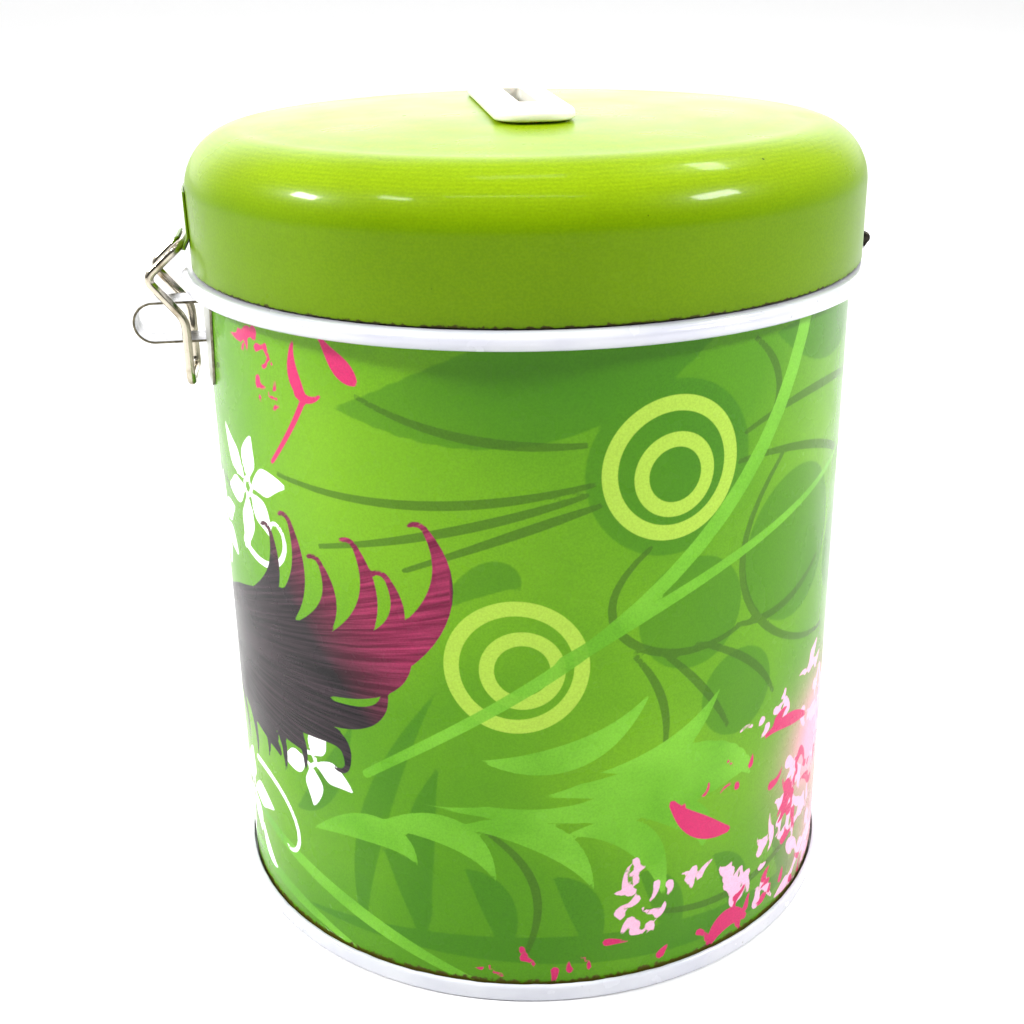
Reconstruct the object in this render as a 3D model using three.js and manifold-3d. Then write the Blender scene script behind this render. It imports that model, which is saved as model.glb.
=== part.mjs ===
// Round printed tin with a hinged lid, a slotted lid insert and a wire hasp over a strap staple.
// Millimetres, +Z up. The origin is on the tin's axis, in the plane the tin stands on.
// The hasp is on the -X side and the hinge on the +X side, with both swing axes along Y.

import * as THREE from 'three';
import { mergeVertices } from 'three/addons/utils/BufferGeometryUtils.js';
import Module from 'manifold-3d';

const wasm = await Module();
wasm.setup();

// ---------------------------------------------------------------- driving dimensions

const TURN_STEPS = 72;            // facets round the tin
const SHEET = 0.3;                // tinplate thickness
const HALF_TURN = Math.PI;
const QUARTER_TURN = Math.PI / 2;

const BODY = { radius: 50, foot: 0.9, neckStart: 107.6, neckTop: 110, neckLean: 0.5, rimWidth: 0.8 };
const SEAM = { azimuth: 0.55, halfWidth: 2.6, depth: 0.35, bottom: 3.2, top: 106.5 };
const BASE = {
  radius: 50.95, height: 3, floorSheet: 0.6, channelInner: 49.45, channelOuter: 50.3,
  footInner: 48.9, corner: 0.35, ledgeRadius: 43.6, ledge: 2.2, panelRadius: 42.4, panel: 0.8, cornerSteps: 2,
};
const BEAD = { inner: 50.25, outer: 53.25, bottom: 101.85, top: 104.35, steps: 6 };
const LID = {
  radius: 51.5, bottom: 104.5, hemInner: 50.65, hemHeight: 0.9,
  shoulderBottom: 115.7, shoulderOut: 9, shoulderUp: 8.7, shoulderSteps: 6,
  domeRise: 1.75, domePower: 3, domeSteps: 3,
};
const LID_TOP = LID.shoulderBottom + LID.shoulderUp + LID.domeRise;

const BEZEL = {
  x: -1.2, y: -0.8, width: 11.5, length: 46, corner: 4.4, proud: 1.9, bevel: 0.8, seatGap: 0.06,
  slotX: 0.7, slotWidth: 3.2, slotLength: 28, sleeveWidth: 7.2, sleeveLength: 36,
  sleeveDepth: 4.6, sleeveCorner: 2.4,
  holeGap: 0.35, hookReach: 0.8, hookHeight: 1.1, hookLength: 6, hookSpacing: 20, hookDrop: 1.7,
};

const LEAF = {
  sheet: 0.35, standOff: 0.15, width: 7, widthSteps: 4, plateHeight: 6.6, curlTurn: 5.1, curlSteps: 14,
};
const HINGE = {
  axisOut: 53.9, axisUp: 104.5, pinRadius: 0.5, bore: 0.6,
  middleHalf: 1.2, knuckleGap: 0.3, knuckleRoom: 0.65, headRadius: 0.85, headHeight: 0.3, headGap: 0.2,
  pinSteps: 16, lidPlateBottom: 106.6, bodyPlateTop: 97.2,
};
const RIVET = {
  shank: 0.6, head: 1.3, headHeight: 0.55, headSteps: 3, tail: 1.1, tailHeight: 0.4,
  hole: 0.9, holeDepth: 4, seat: 0.1, steps: 12, spacing: 3.8,
};

const WIRE = { radius: 0.7, spacing: 10.8, bend: 1.6, corner: 1.9, butt: 0.3, sides: 8, steps: 80 };
const HASP_PIVOT = { out: 52.7, up: 107.9 };
const HASP_KNEE = { out: 58.2, up: 103.1 };
const HASP_BEND = { out: 52.95, up: 96.6 };
const HASP_END = { out: 52.95, up: 86.6 };
const BRACKET = {
  sheet: 0.3, clearance: 0.1, top: 116, topHalf: 7.5, bottomHalf: 9, shoulderDrop: 1,
  sideBottom: 109.6, flareBottom: 108.3, footCorner: [8.6, 6.6], curlHalf: 3.4, curlTurn: 4.5, curlSteps: 13,
  widthSteps: 10,
};

const STRAP = {
  sheet: 0.4, width: 6, top: 98.9, bottom: 92.4, tip: 61.2, foot: 5, footGap: 0.25, bend: 0.8,
  slotGap: 0.3, slotDepth: 6, tipSteps: 14, bendSteps: 3,
};
const PLATE = { sheet: 0.3, standOff: 0.1, topHalf: 14, bottomHalf: 11, top: 101, bottom: 87.2, corner: 2.5 };

// ---------------------------------------------------------------- finishes

function finish(color, roughness, metalness) {
  return new THREE.MeshStandardMaterial({ color, roughness, metalness });
}

const printedGreen = () => finish(0x6fa52a, 0.25, 0);
const lacquerGreen = () => finish(0x86b81f, 0.2, 0);
const enamelWhite = () => finish(0xf0eff6, 0.2, 0);
const ivoryPlastic = () => finish(0xf3f2e2, 0.4, 0);
const nickel = () => finish(0xc9c4b4, 0.2, 1);
const tinplate = () => finish(0xb9bbb8, 0.3, 1);
const darkSteel = () => finish(0x3a3733, 0.4, 1);

// ---------------------------------------------------------------- solids

function toSolid(geometry) {
  const bare = geometry.clone();
  bare.deleteAttribute('normal');
  bare.deleteAttribute('uv');
  const welded = mergeVertices(bare, 1e-4);
  return new wasm.Manifold(new wasm.Mesh({
    numProp: 3,
    vertProperties: Float32Array.from(welded.attributes.position.array),
    triVerts: Uint32Array.from(welded.index.array),
  }));
}

function toGeometry(solid) {
  const mesh = solid.getMesh();
  const geometry = new THREE.BufferGeometry();
  geometry.setAttribute('position', new THREE.BufferAttribute(mesh.vertProperties, 3));
  geometry.setIndex(new THREE.BufferAttribute(mesh.triVerts, 1));
  return geometry;
}

function joined(base, ...others) {
  return toGeometry(others.reduce((sum, g) => sum.add(toSolid(g)), toSolid(base)));
}

function cut(base, ...tools) {
  return toGeometry(tools.reduce((rest, g) => rest.subtract(toSolid(g)), toSolid(base)));
}

// ---------------------------------------------------------------- outlines

const point = (out, up) => new THREE.Vector2(out, up);

// Points along an arc, both ends included, with angles in radians from +X towards +Y.
function arc(centreX, centreY, radiusX, radiusY, from, to, steps) {
  return Array.from({ length: steps + 1 }, (_, i) => {
    const angle = from + (to - from) * i / steps;
    return point(centreX + radiusX * Math.cos(angle), centreY + radiusY * Math.sin(angle));
  });
}

// A profile of (distance from the axis, height) points, turned round Z.
const turned = (profile, steps = TURN_STEPS) => new THREE.LatheGeometry(profile, steps).rotateX(QUARTER_TURN);

// The outline of a sheet of even thickness that follows a centre line.
function sheetOutline(line, thickness) {
  const side = (sign) => line.map((here, i) => {
    const before = line[Math.max(i - 1, 0)];
    const after = line[Math.min(i + 1, line.length - 1)];
    const into = here.clone().sub(i ? before : here);
    const outOf = after.clone().sub(here);
    const first = (i ? into : outOf).normalize();
    const second = (i < line.length - 1 ? outOf : into).normalize();
    const mitre = point(-first.y - second.y, first.x + second.x).normalize();
    const reach = thickness / 2 / Math.max(0.5, mitre.dot(point(-first.y, first.x)));
    return here.clone().addScaledVector(mitre, sign * reach);
  });
  return [...side(1), ...side(-1).reverse()];
}

// An outline in (out, up), carried across the tin's Y direction and centred on Y = 0.
function acrossY(outline, width, steps = 1) {
  const options = { depth: width, steps, bevelEnabled: false };
  const geometry = new THREE.ExtrudeGeometry(new THREE.Shape(outline), options);
  return geometry.translate(0, 0, -width / 2).rotateX(QUARTER_TURN);
}

// An outline in (Y, up), carried outwards from one distance to another.
function outwards(shape, from, to, steps = 1) {
  const geometry = new THREE.ExtrudeGeometry(shape, { depth: to - from, steps, bevelEnabled: false });
  return geometry.rotateX(QUARTER_TURN).rotateZ(QUARTER_TURN).translate(from, 0, 0);
}

function roundedRectangle(width, height, corner) {
  const x = width / 2;
  const y = height / 2;
  const shape = new THREE.Shape();
  shape.moveTo(x - corner, -y);
  shape.absarc(x - corner, -y + corner, corner, -QUARTER_TURN, 0);
  shape.absarc(x - corner, y - corner, corner, 0, QUARTER_TURN);
  shape.absarc(-x + corner, y - corner, corner, QUARTER_TURN, HALF_TURN);
  shape.absarc(-x + corner, -y + corner, corner, HALF_TURN, HALF_TURN + QUARTER_TURN);
  return shape;
}

// Bends a flat sheet in YZ to the tin's curve; share(z) is 1 where it lies on the tin and 0 where it is flat.
function cupped(geometry, radius, share = () => 1) {
  const place = geometry.attributes.position;
  for (let i = 0; i < place.count; i += 1) {
    const across = place.getY(i);
    const sag = radius - Math.sqrt(radius * radius - across * across);
    place.setX(i, place.getX(i) - sag * share(place.getZ(i)));
  }
  return geometry;
}

const box = (sizeX, sizeY, sizeZ, x, y, z) => new THREE.BoxGeometry(sizeX, sizeY, sizeZ).translate(x, y, z);

// Turns a geometry round the tin's axis so that it sits at a distance `across` to one side of +X.
const swungTo = (geometry, radius, across) => geometry.rotateZ(Math.asin(across / radius));

// ---------------------------------------------------------------- rivets

function rivetHole(radius, across, up) {
  const hole = new THREE.CylinderGeometry(RIVET.hole, RIVET.hole, RIVET.holeDepth, RIVET.steps);
  return swungTo(hole.rotateZ(QUARTER_TURN).translate(radius, 0, up), radius, across);
}

// A domed rivet through a sheet whose inner and outer faces are given as distances from the axis.
function rivet(inner, outer, across, up) {
  const tailTop = inner - RIVET.seat;
  const headFoot = outer + RIVET.seat;
  const profile = [
    point(0, tailTop - RIVET.tailHeight),
    point(RIVET.tail, tailTop - RIVET.tailHeight),
    point(RIVET.tail, tailTop),
    point(RIVET.shank, tailTop),
    point(RIVET.shank, headFoot),
    ...arc(0, headFoot, RIVET.head, RIVET.headHeight, 0, QUARTER_TURN, RIVET.headSteps),
  ];
  const lathe = turned(profile, RIVET.steps).rotateY(QUARTER_TURN).translate(0, 0, up);
  return swungTo(lathe, outer, across);
}

const rivetPair = (spacing, up) => [-1, 1].map((side) => ({ across: side * spacing / 2, up }));

// ---------------------------------------------------------------- body

const BODY_RIVETS = rivetPair(RIVET.spacing, HINGE.bodyPlateTop - LEAF.plateHeight / 2);
const LID_RIVETS = rivetPair(RIVET.spacing, HINGE.lidPlateBottom + LEAF.plateHeight / 2);

// The slots in the wall and the plate that the staple's two legs pass through, on the +X side.
function strapSlots() {
  const height = STRAP.sheet + 2 * STRAP.slotGap;
  const width = STRAP.width + 2 * STRAP.slotGap;
  return [STRAP.top - STRAP.sheet / 2, STRAP.bottom + STRAP.sheet / 2]
    .map((up) => box(STRAP.slotDepth, width, height, BODY.radius, 0, up));
}

function bodyWall() {
  const inner = BODY.radius - SHEET;
  const rim = BODY.radius - BODY.neckLean;
  const wall = turned([
    point(inner, BODY.foot),
    point(BODY.radius, BODY.foot),
    point(BODY.radius, BODY.neckStart),
    point(rim, BODY.neckTop - SHEET),
    point(rim - SHEET, BODY.neckTop),
    point(rim - BODY.rimWidth, BODY.neckTop),
    point(rim - BODY.rimWidth, BODY.neckTop - SHEET),
    point(rim - SHEET, BODY.neckTop - SHEET),
    point(inner, BODY.neckStart),
    point(inner, BODY.foot),
  ]);
  const lapInner = inner - SEAM.depth;
  const half = SEAM.halfWidth / BODY.radius;
  const lap = new THREE.Shape([
    ...arc(0, 0, lapInner, lapInner, SEAM.azimuth - half, SEAM.azimuth + half, 3),
    ...arc(0, 0, inner + SHEET / 2, inner + SHEET / 2, SEAM.azimuth + half, SEAM.azimuth - half, 3),
  ]);
  const seam = new THREE.ExtrudeGeometry(lap, { depth: SEAM.top - SEAM.bottom, bevelEnabled: false });
  const whole = joined(wall, seam.translate(0, 0, SEAM.bottom));
  const holes = BODY_RIVETS.map(({ across, up }) => rivetHole(BODY.radius, across, up));
  return cut(whole, ...holes, ...strapSlots().map((slot) => slot.rotateZ(HALF_TURN)));
}

// Stepped panel, and a seam ring whose channel takes the wall's lower edge.
function bottomEnd() {
  const { radius, height, corner, panel, ledge, channelInner, channelOuter, floorSheet } = BASE;
  return turned([
    point(0, panel),
    point(BASE.panelRadius, panel),
    point(BASE.ledgeRadius, ledge),
    point(BASE.footInner - corner, ledge),
    point(BASE.footInner, ledge - corner),
    point(BASE.footInner, corner),
    point(BASE.footInner + corner, 0),
    ...arc(radius - corner, corner, corner, corner, -QUARTER_TURN, 0, BASE.cornerSteps),
    ...arc(radius - corner, height - corner, corner, corner, 0, QUARTER_TURN, BASE.cornerSteps),
    point(channelOuter, height),
    point(channelOuter, floorSheet),
    point(channelInner, floorSheet),
    point(channelInner, ledge + SHEET),
    point(BASE.ledgeRadius, ledge + SHEET),
    point(BASE.panelRadius, panel + SHEET),
    point(0, panel + SHEET),
  ]);
}

function topRing() {
  const round = (BEAD.top - BEAD.bottom) / 2;
  const middle = BEAD.bottom + round;
  const nose = arc(BEAD.outer - round, middle, round, round, -QUARTER_TURN, QUARTER_TURN, BEAD.steps);
  return turned([...nose, point(BEAD.inner, BEAD.top), point(BEAD.inner, BEAD.bottom), nose[0].clone()]);
}

// ---------------------------------------------------------------- lid

// The lid's skin as (distance, height) points from the skirt to the centre, moved in by an inset.
function lidLine(inset) {
  const start = LID.radius - LID.shoulderOut;
  const shoulder = arc(
    start, LID.shoulderBottom, LID.shoulderOut - inset, LID.shoulderUp - inset,
    0, QUARTER_TURN, LID.shoulderSteps,
  );
  const dome = Array.from({ length: LID.domeSteps }, (_, i) => {
    const out = start * (1 - (i + 1) / LID.domeSteps);
    return point(out, LID_TOP - inset - LID.domeRise * (out / start) ** LID.domePower);
  });
  return [...shoulder, ...dome];
}

function lidShell() {
  const hemTop = LID.bottom + LID.hemHeight;
  const inner = LID.radius - SHEET;
  const shell = turned([
    ...lidLine(SHEET).reverse(),
    point(inner, hemTop),
    point(LID.hemInner, hemTop),
    point(LID.hemInner, LID.bottom),
    point(LID.radius, LID.bottom),
    ...lidLine(0),
  ]);
  const hole = roundedRectangle(
    BEZEL.sleeveWidth + 2 * BEZEL.holeGap, BEZEL.sleeveLength + 2 * BEZEL.holeGap,
    BEZEL.sleeveCorner + BEZEL.holeGap,
  );
  const slot = new THREE.ExtrudeGeometry(hole, { depth: 8, bevelEnabled: false, curveSegments: 4 });
  const hingeHoles = LID_RIVETS.map(({ across, up }) => rivetHole(LID.radius, across, up));
  return cut(shell, slot.translate(BEZEL.x, BEZEL.y, LID_TOP - 4), ...hingeHoles);
}

// Moulded insert, a little off the lid's centre: a rounded flange, a sleeve through the lid and four hooks.
function slotBezel() {
  const seat = LID_TOP + BEZEL.seatGap;
  const face = roundedRectangle(
    BEZEL.width - 2 * BEZEL.bevel, BEZEL.length - 2 * BEZEL.bevel, BEZEL.corner - BEZEL.bevel,
  );
  const flange = new THREE.ExtrudeGeometry(face, {
    depth: BEZEL.proud - 2 * BEZEL.bevel,
    bevelSize: BEZEL.bevel,
    bevelThickness: BEZEL.bevel,
    bevelSegments: 3,
    curveSegments: 6,
  }).translate(0, 0, seat + BEZEL.bevel);
  const tube = roundedRectangle(BEZEL.sleeveWidth, BEZEL.sleeveLength, BEZEL.sleeveCorner);
  const sleeve = new THREE.ExtrudeGeometry(tube, {
    depth: BEZEL.sleeveDepth + BEZEL.bevel, bevelEnabled: false, curveSegments: 4,
  }).translate(0, 0, seat - BEZEL.sleeveDepth);
  const hooks = [-1, 1].flatMap((side) => [-1, 1].map((end) => box(
    BEZEL.hookReach * 2, BEZEL.hookLength, BEZEL.hookHeight,
    side * BEZEL.sleeveWidth / 2, end * BEZEL.hookSpacing / 2, seat - BEZEL.hookDrop,
  )));
  const slot = box(BEZEL.slotWidth, BEZEL.slotLength, 20, BEZEL.slotX, 0, LID_TOP);
  return cut(joined(flange, sleeve, ...hooks), slot).translate(BEZEL.x, BEZEL.y, 0);
}

// ---------------------------------------------------------------- hinge, on the +X side

// A leaf's centre line: up or down the plate, out to the barrel, and round the pin from outside.
function leafLine(plateOut, plateEnd, plateNear, turn) {
  const wrap = HINGE.bore + LEAF.sheet / 2;
  const toCorner = point(plateOut - HINGE.axisOut, plateNear - HINGE.axisUp);
  const cornerAngle = Math.acos(toCorner.x / toCorner.length());
  const start = turn * (cornerAngle - Math.acos(wrap / toCorner.length()));
  return [
    point(plateOut, plateEnd),
    point(plateOut, plateNear),
    ...arc(HINGE.axisOut, HINGE.axisUp, wrap, wrap, start, start - turn * LEAF.curlTurn, LEAF.curlSteps),
  ];
}

// Room for the other leaf's knuckles, as boxes round the barrel from one Y to another.
function knuckleRoom(fromY, toY) {
  const size = 2 * (HINGE.bore + LEAF.sheet + HINGE.knuckleRoom);
  return box(size, toY - fromY, size, HINGE.axisOut, (fromY + toY) / 2, HINGE.axisUp);
}

function leafPlate(line, radius, plateNear) {
  const blank = acrossY(sheetOutline(line, LEAF.sheet), LEAF.width, LEAF.widthSteps);
  const straight = Math.abs(plateNear - HINGE.axisUp) - LEAF.sheet;
  return cupped(blank, radius, (up) => (Math.abs(up - HINGE.axisUp) > straight ? 1 : 0));
}

function hingeLidLeaf() {
  const out = LID.radius + LEAF.standOff + LEAF.sheet / 2;
  const near = HINGE.lidPlateBottom;
  const leaf = leafPlate(leafLine(out, near + LEAF.plateHeight, near, 1), LID.radius, near);
  const edge = LEAF.width / 2 + 1;
  const middle = HINGE.middleHalf;
  const holes = LID_RIVETS.map(({ across, up }) => rivetHole(LID.radius, across, up));
  return cut(leaf, knuckleRoom(-edge, -middle), knuckleRoom(middle, edge), ...holes);
}

function hingeBodyLeaf() {
  const out = BODY.radius + LEAF.standOff + LEAF.sheet / 2;
  const near = HINGE.bodyPlateTop;
  const leaf = leafPlate(leafLine(out, near - LEAF.plateHeight, near, -1), BODY.radius, near);
  const middle = HINGE.middleHalf + HINGE.knuckleGap;
  const holes = BODY_RIVETS.map(({ across, up }) => rivetHole(BODY.radius, across, up));
  return cut(leaf, knuckleRoom(-middle, middle), ...holes);
}

function hingePin() {
  const end = LEAF.width / 2 + HINGE.headGap;
  const tip = end + HINGE.headHeight;
  const pin = turned([
    point(0, -tip),
    point(HINGE.headRadius, -tip),
    point(HINGE.headRadius, -end),
    point(HINGE.pinRadius, -end),
    point(HINGE.pinRadius, end),
    point(HINGE.headRadius, end),
    point(HINGE.headRadius, tip),
    point(0, tip),
  ], HINGE.pinSteps);
  return pin.rotateX(QUARTER_TURN).translate(HINGE.axisOut, 0, HINGE.axisUp);
}

const sheetRivet = (radius, sheets, { across, up }) => rivet(radius - SHEET, radius + sheets, across, up);

// ---------------------------------------------------------------- hasp, drawn on +X and turned to -X

// A path of straight stretches joined by rounded corners.
function roundedPath(corners, radii) {
  const path = new THREE.CurvePath();
  let from = corners[0];
  for (let i = 1; i < corners.length - 1; i += 1) {
    const here = corners[i];
    const back = corners[i - 1].clone().sub(here).setLength(radii[i]);
    const ahead = corners[i + 1].clone().sub(here).setLength(radii[i]);
    const enter = here.clone().add(back);
    const leave = here.clone().add(ahead);
    path.add(new THREE.LineCurve3(from, enter));
    path.add(new THREE.QuadraticBezierCurve3(enter, here, leave));
    from = leave;
  }
  path.add(new THREE.LineCurve3(from, corners[corners.length - 1]));
  return path;
}

// One closed wire loop whose two ends butt together inside the bracket's curl.
function haspWire() {
  const half = WIRE.spacing / 2;
  const at = ({ out, up }, across) => new THREE.Vector3(out, across, up);
  const stations = [HASP_PIVOT, HASP_KNEE, HASP_BEND, HASP_END];
  const corners = [
    at(HASP_PIVOT, WIRE.butt / 2),
    ...stations.map((station) => at(station, half)),
    ...stations.toReversed().map((station) => at(station, -half)),
    at(HASP_PIVOT, -WIRE.butt / 2),
  ];
  const { bend, corner } = WIRE;
  const path = roundedPath(corners, [0, corner, bend, bend, corner, corner, bend, bend, corner, 0]);
  const section = new THREE.Shape(arc(0, 0, WIRE.radius, WIRE.radius, 0, 2 * HALF_TURN, WIRE.sides).slice(1));
  return new THREE.ExtrudeGeometry(section, { steps: WIRE.steps, extrudePath: path });
}

// A sheet along stations of { at, half, share }: half is its half width there, and share is 1 where it
// follows a cylinder of the given radius and 0 where it is straight across.
function shapedSheet(stations, thickness, radius, widthSteps) {
  const outline = sheetOutline(stations.map(({ at }) => at), thickness);
  const edge = [...stations, ...stations.toReversed()];
  const count = outline.length;
  const places = [];
  for (let step = 0; step <= widthSteps; step += 1) {
    outline.forEach((spot, i) => {
      const across = edge[i].half * (2 * step / widthSteps - 1);
      const sag = radius - Math.sqrt(radius * radius - across * across);
      places.push(spot.x - sag * edge[i].share, across, spot.y);
    });
  }
  const faces = [];
  for (let start = 0; start < widthSteps * count; start += count) {
    for (let i = 0; i < count; i += 1) {
      const [here, next] = [start + i, start + (i + 1) % count];
      faces.push(here, next, next + count, here, next + count, here + count);
    }
  }
  const last = widthSteps * count;
  for (let i = 0; i < stations.length - 1; i += 1) {
    const [far, near] = [count - 1 - i, count - 2 - i];
    faces.push(i, near, i + 1, i, far, near);
    faces.push(last + i, last + i + 1, last + near, last + i, last + near, last + far);
  }
  const geometry = new THREE.BufferGeometry();
  geometry.setAttribute('position', new THREE.Float32BufferAttribute(places, 3));
  geometry.setIndex(faces);
  return geometry;
}

// A lug that follows the lid's skirt, wider at the foot, where it flares out to a curl round the wire.
function haspBracket() {
  const { top, topHalf, bottomHalf, sideBottom } = BRACKET;
  const sideTop = top - BRACKET.shoulderDrop;
  const wrap = WIRE.radius + BRACKET.clearance + BRACKET.sheet / 2;
  const plateOut = HASP_PIVOT.out - wrap;
  const { out, up } = HASP_PIVOT;
  const curl = arc(out, up, wrap, wrap, -HALF_TURN, BRACKET.curlTurn - HALF_TURN, BRACKET.curlSteps);
  const stations = [
    { at: point(plateOut, top), half: topHalf, share: 1 },
    { at: point(plateOut, sideTop), half: topHalf, share: 1 },
    { at: point(plateOut, (sideTop + sideBottom) / 2), half: (topHalf + bottomHalf) / 2, share: 1 },
    { at: point(plateOut, sideBottom), half: bottomHalf, share: 1 },
    { at: point(plateOut, BRACKET.flareBottom), half: bottomHalf, share: 0 },
    ...curl.map((at, i) => ({ at, half: BRACKET.footCorner[i] ?? BRACKET.curlHalf, share: 0 })),
  ];
  return shapedSheet(stations, BRACKET.sheet, LID.radius, BRACKET.widthSteps);
}

// A strap bent to a loop, its two legs through the wall and its feet turned flat against the inside.
function stapleStrap() {
  const half = STRAP.sheet / 2;
  const round = (STRAP.top - STRAP.bottom) / 2 - half;
  const middle = (STRAP.top + STRAP.bottom) / 2;
  const footOut = BODY.radius - SHEET - STRAP.footGap - half;
  const highLeg = STRAP.top - half;
  const lowLeg = STRAP.bottom + half;
  const line = [
    point(footOut, highLeg + STRAP.foot),
    ...arc(
      footOut + STRAP.bend, highLeg + STRAP.bend, STRAP.bend, STRAP.bend,
      HALF_TURN, 1.5 * HALF_TURN, STRAP.bendSteps,
    ),
    ...arc(STRAP.tip - half - round, middle, round, round, QUARTER_TURN, -QUARTER_TURN, STRAP.tipSteps),
    ...arc(
      footOut + STRAP.bend, lowLeg - STRAP.bend, STRAP.bend, STRAP.bend,
      QUARTER_TURN, HALF_TURN, STRAP.bendSteps,
    ),
    point(footOut, lowLeg - STRAP.foot),
  ];
  return acrossY(sheetOutline(line, STRAP.sheet), STRAP.width);
}

// A thin scutcheon that follows the wall, with two slots for the staple's legs.
function staplePlate() {
  const { topHalf, bottomHalf, top, bottom, corner } = PLATE;
  const shape = new THREE.Shape([
    point(topHalf, top),
    point(-topHalf, top),
    ...arc(-bottomHalf + corner, bottom + corner, corner, corner, HALF_TURN, 1.5 * HALF_TURN, 4),
    ...arc(bottomHalf - corner, bottom + corner, corner, corner, -QUARTER_TURN, 0, 4),
  ]);
  const inner = BODY.radius + PLATE.standOff;
  const outer = inner + PLATE.sheet;
  const ring = turned([
    point(inner, bottom - 1), point(outer, bottom - 1), point(outer, top + 1), point(inner, top + 1),
    point(inner, bottom - 1),
  ]);
  const sheet = toSolid(ring).intersect(toSolid(outwards(shape, inner - 8, outer + 2)));
  return cut(toGeometry(sheet), ...strapSlots());
}

// ---------------------------------------------------------------- assembly

function part(name, geometry, material) {
  const mesh = new THREE.Mesh(geometry, material);
  mesh.name = name;
  return mesh;
}

const riveted = (name, places, radius, sheets, material) => places.map((place, i) => (
  part(`${name}_${i + 1}`, sheetRivet(radius, sheets, place), material)
));

const hingeSheets = LEAF.standOff + LEAF.sheet;

const tin = new THREE.Group();
tin.add(
  part('body_wall', bodyWall(), printedGreen()),
  part('bottom_end', bottomEnd(), enamelWhite()),
  part('top_ring', topRing(), enamelWhite()),
  part('hinge_body_leaf', hingeBodyLeaf(), darkSteel()),
  part('hinge_pin', hingePin(), darkSteel()),
  ...riveted('hinge_body_rivet', BODY_RIVETS, BODY.radius, hingeSheets, darkSteel()),
);

const staple = new THREE.Group();
staple.rotation.z = HALF_TURN;
staple.add(
  part('staple_strap', stapleStrap(), nickel()),
  part('staple_plate', staplePlate(), tinplate()),
);

const lid = new THREE.Group();
lid.add(
  part('lid_shell', lidShell(), lacquerGreen()),
  part('slot_bezel', slotBezel(), ivoryPlastic()),
  part('hinge_lid_leaf', hingeLidLeaf(), darkSteel()),
  ...riveted('hinge_lid_rivet', LID_RIVETS, LID.radius, hingeSheets, darkSteel()),
);

const hasp = new THREE.Group();
hasp.rotation.z = HALF_TURN;
hasp.add(
  part('hasp_bracket', haspBracket(), lacquerGreen()),
  part('hasp_wire', haspWire(), nickel()),
);

const assembly = new THREE.Group();
assembly.add(tin, staple, lid, hasp);

export default assembly;
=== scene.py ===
"""Looks for a round printed tin with a hinged lid, a slotted insert and a wire hasp over a strap staple.

Lengths are in millimetres until a mesh becomes an object, and positions come from the CAD frame.
"""

import math
import random

import bmesh
import bpy
import numpy as np
from mathutils import Matrix, Vector


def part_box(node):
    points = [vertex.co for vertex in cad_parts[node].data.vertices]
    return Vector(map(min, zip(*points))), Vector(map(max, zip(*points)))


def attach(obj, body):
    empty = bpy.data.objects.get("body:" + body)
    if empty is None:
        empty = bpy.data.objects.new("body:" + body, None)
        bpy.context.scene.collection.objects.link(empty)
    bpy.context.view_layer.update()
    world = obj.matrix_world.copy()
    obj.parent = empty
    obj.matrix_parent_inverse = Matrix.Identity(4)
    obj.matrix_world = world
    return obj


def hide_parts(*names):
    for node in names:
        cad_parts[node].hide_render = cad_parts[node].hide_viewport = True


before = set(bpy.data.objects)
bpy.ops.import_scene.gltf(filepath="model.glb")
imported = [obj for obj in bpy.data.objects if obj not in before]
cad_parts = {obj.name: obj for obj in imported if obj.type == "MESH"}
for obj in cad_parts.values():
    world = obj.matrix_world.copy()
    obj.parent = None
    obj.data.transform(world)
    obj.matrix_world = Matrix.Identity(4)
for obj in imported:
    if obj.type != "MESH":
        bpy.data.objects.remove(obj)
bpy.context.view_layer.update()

# ---- sizes, in millimetres

MM = 0.001
AROUND = 288                 # steps round the plain turned pieces
SHARP_ANGLE = math.radians(38)
HALF_TURN = math.pi
QUARTER_TURN = math.pi / 2


def round_size(node):
    """A round node's radius, bottom and top."""
    low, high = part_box(node)
    return high.y / MM, low.z / MM, high.z / MM


WALL_R, WALL_FOOT, WALL_TOP = round_size("body_wall")
RING_R, _, RING_TOP = round_size("bottom_end")
BEAD_R, BEAD_FOOT, BEAD_TOP = round_size("top_ring")
LID_R, LID_FOOT, LID_TOP = round_size("lid_shell")
_, _, BEZEL_TOP = round_size("slot_bezel")

SHEET = 0.3
NECK_START, NECK_LEAN, RIM_WIDTH = 107.6, 0.5, 0.8
PRINT_CELL = 0.6             # the printed wall's grid
SEAM_AZIMUTH, SEAM_HALF_WIDTH, SEAM_DEPTH = 0.55, 2.6, 0.35

CHANNEL_INNER, CHANNEL_OUTER, FOOT_INNER, FLOOR_SHEET = 49.45, 50.3, 48.9, 0.6
LEDGE_R, LEDGE, PANEL_R, PANEL = 43.6, 2.2, 42.4, 0.8
BEAD_INNER = 50.25

HEM_INNER, HEM_HEIGHT = 50.65, 0.9
SHOULDER_FOOT, SHOULDER_OUT, SHOULDER_UP, DOME_POWER = 115.7, 9, 8.7, 3
DOME_RISE = LID_TOP - SHOULDER_FOOT - SHOULDER_UP

BEZEL_PLACE, BEZEL_WIDTH, BEZEL_LENGTH, BEZEL_CORNER, BEZEL_PROUD = (-1.2, -0.8), 11.5, 46, 4.4, 1.9
SLOT_X, SLOT_WIDTH, SLOT_LENGTH = 0.7, 3.2, 28
SLEEVE_WIDTH, SLEEVE_LENGTH, SLEEVE_CORNER, SLEEVE_DEPTH = 7.2, 36, 2.4, 4.6
HOLE_GAP, SLOT_EDGE = 0.35, 0.75
HOOK_OUT, HOOK_ALONG, HOOK_DOWN, HOOK_HALF = 0.25, 10, 1.7, Vector((0.55, 3, 0.55))

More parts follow.
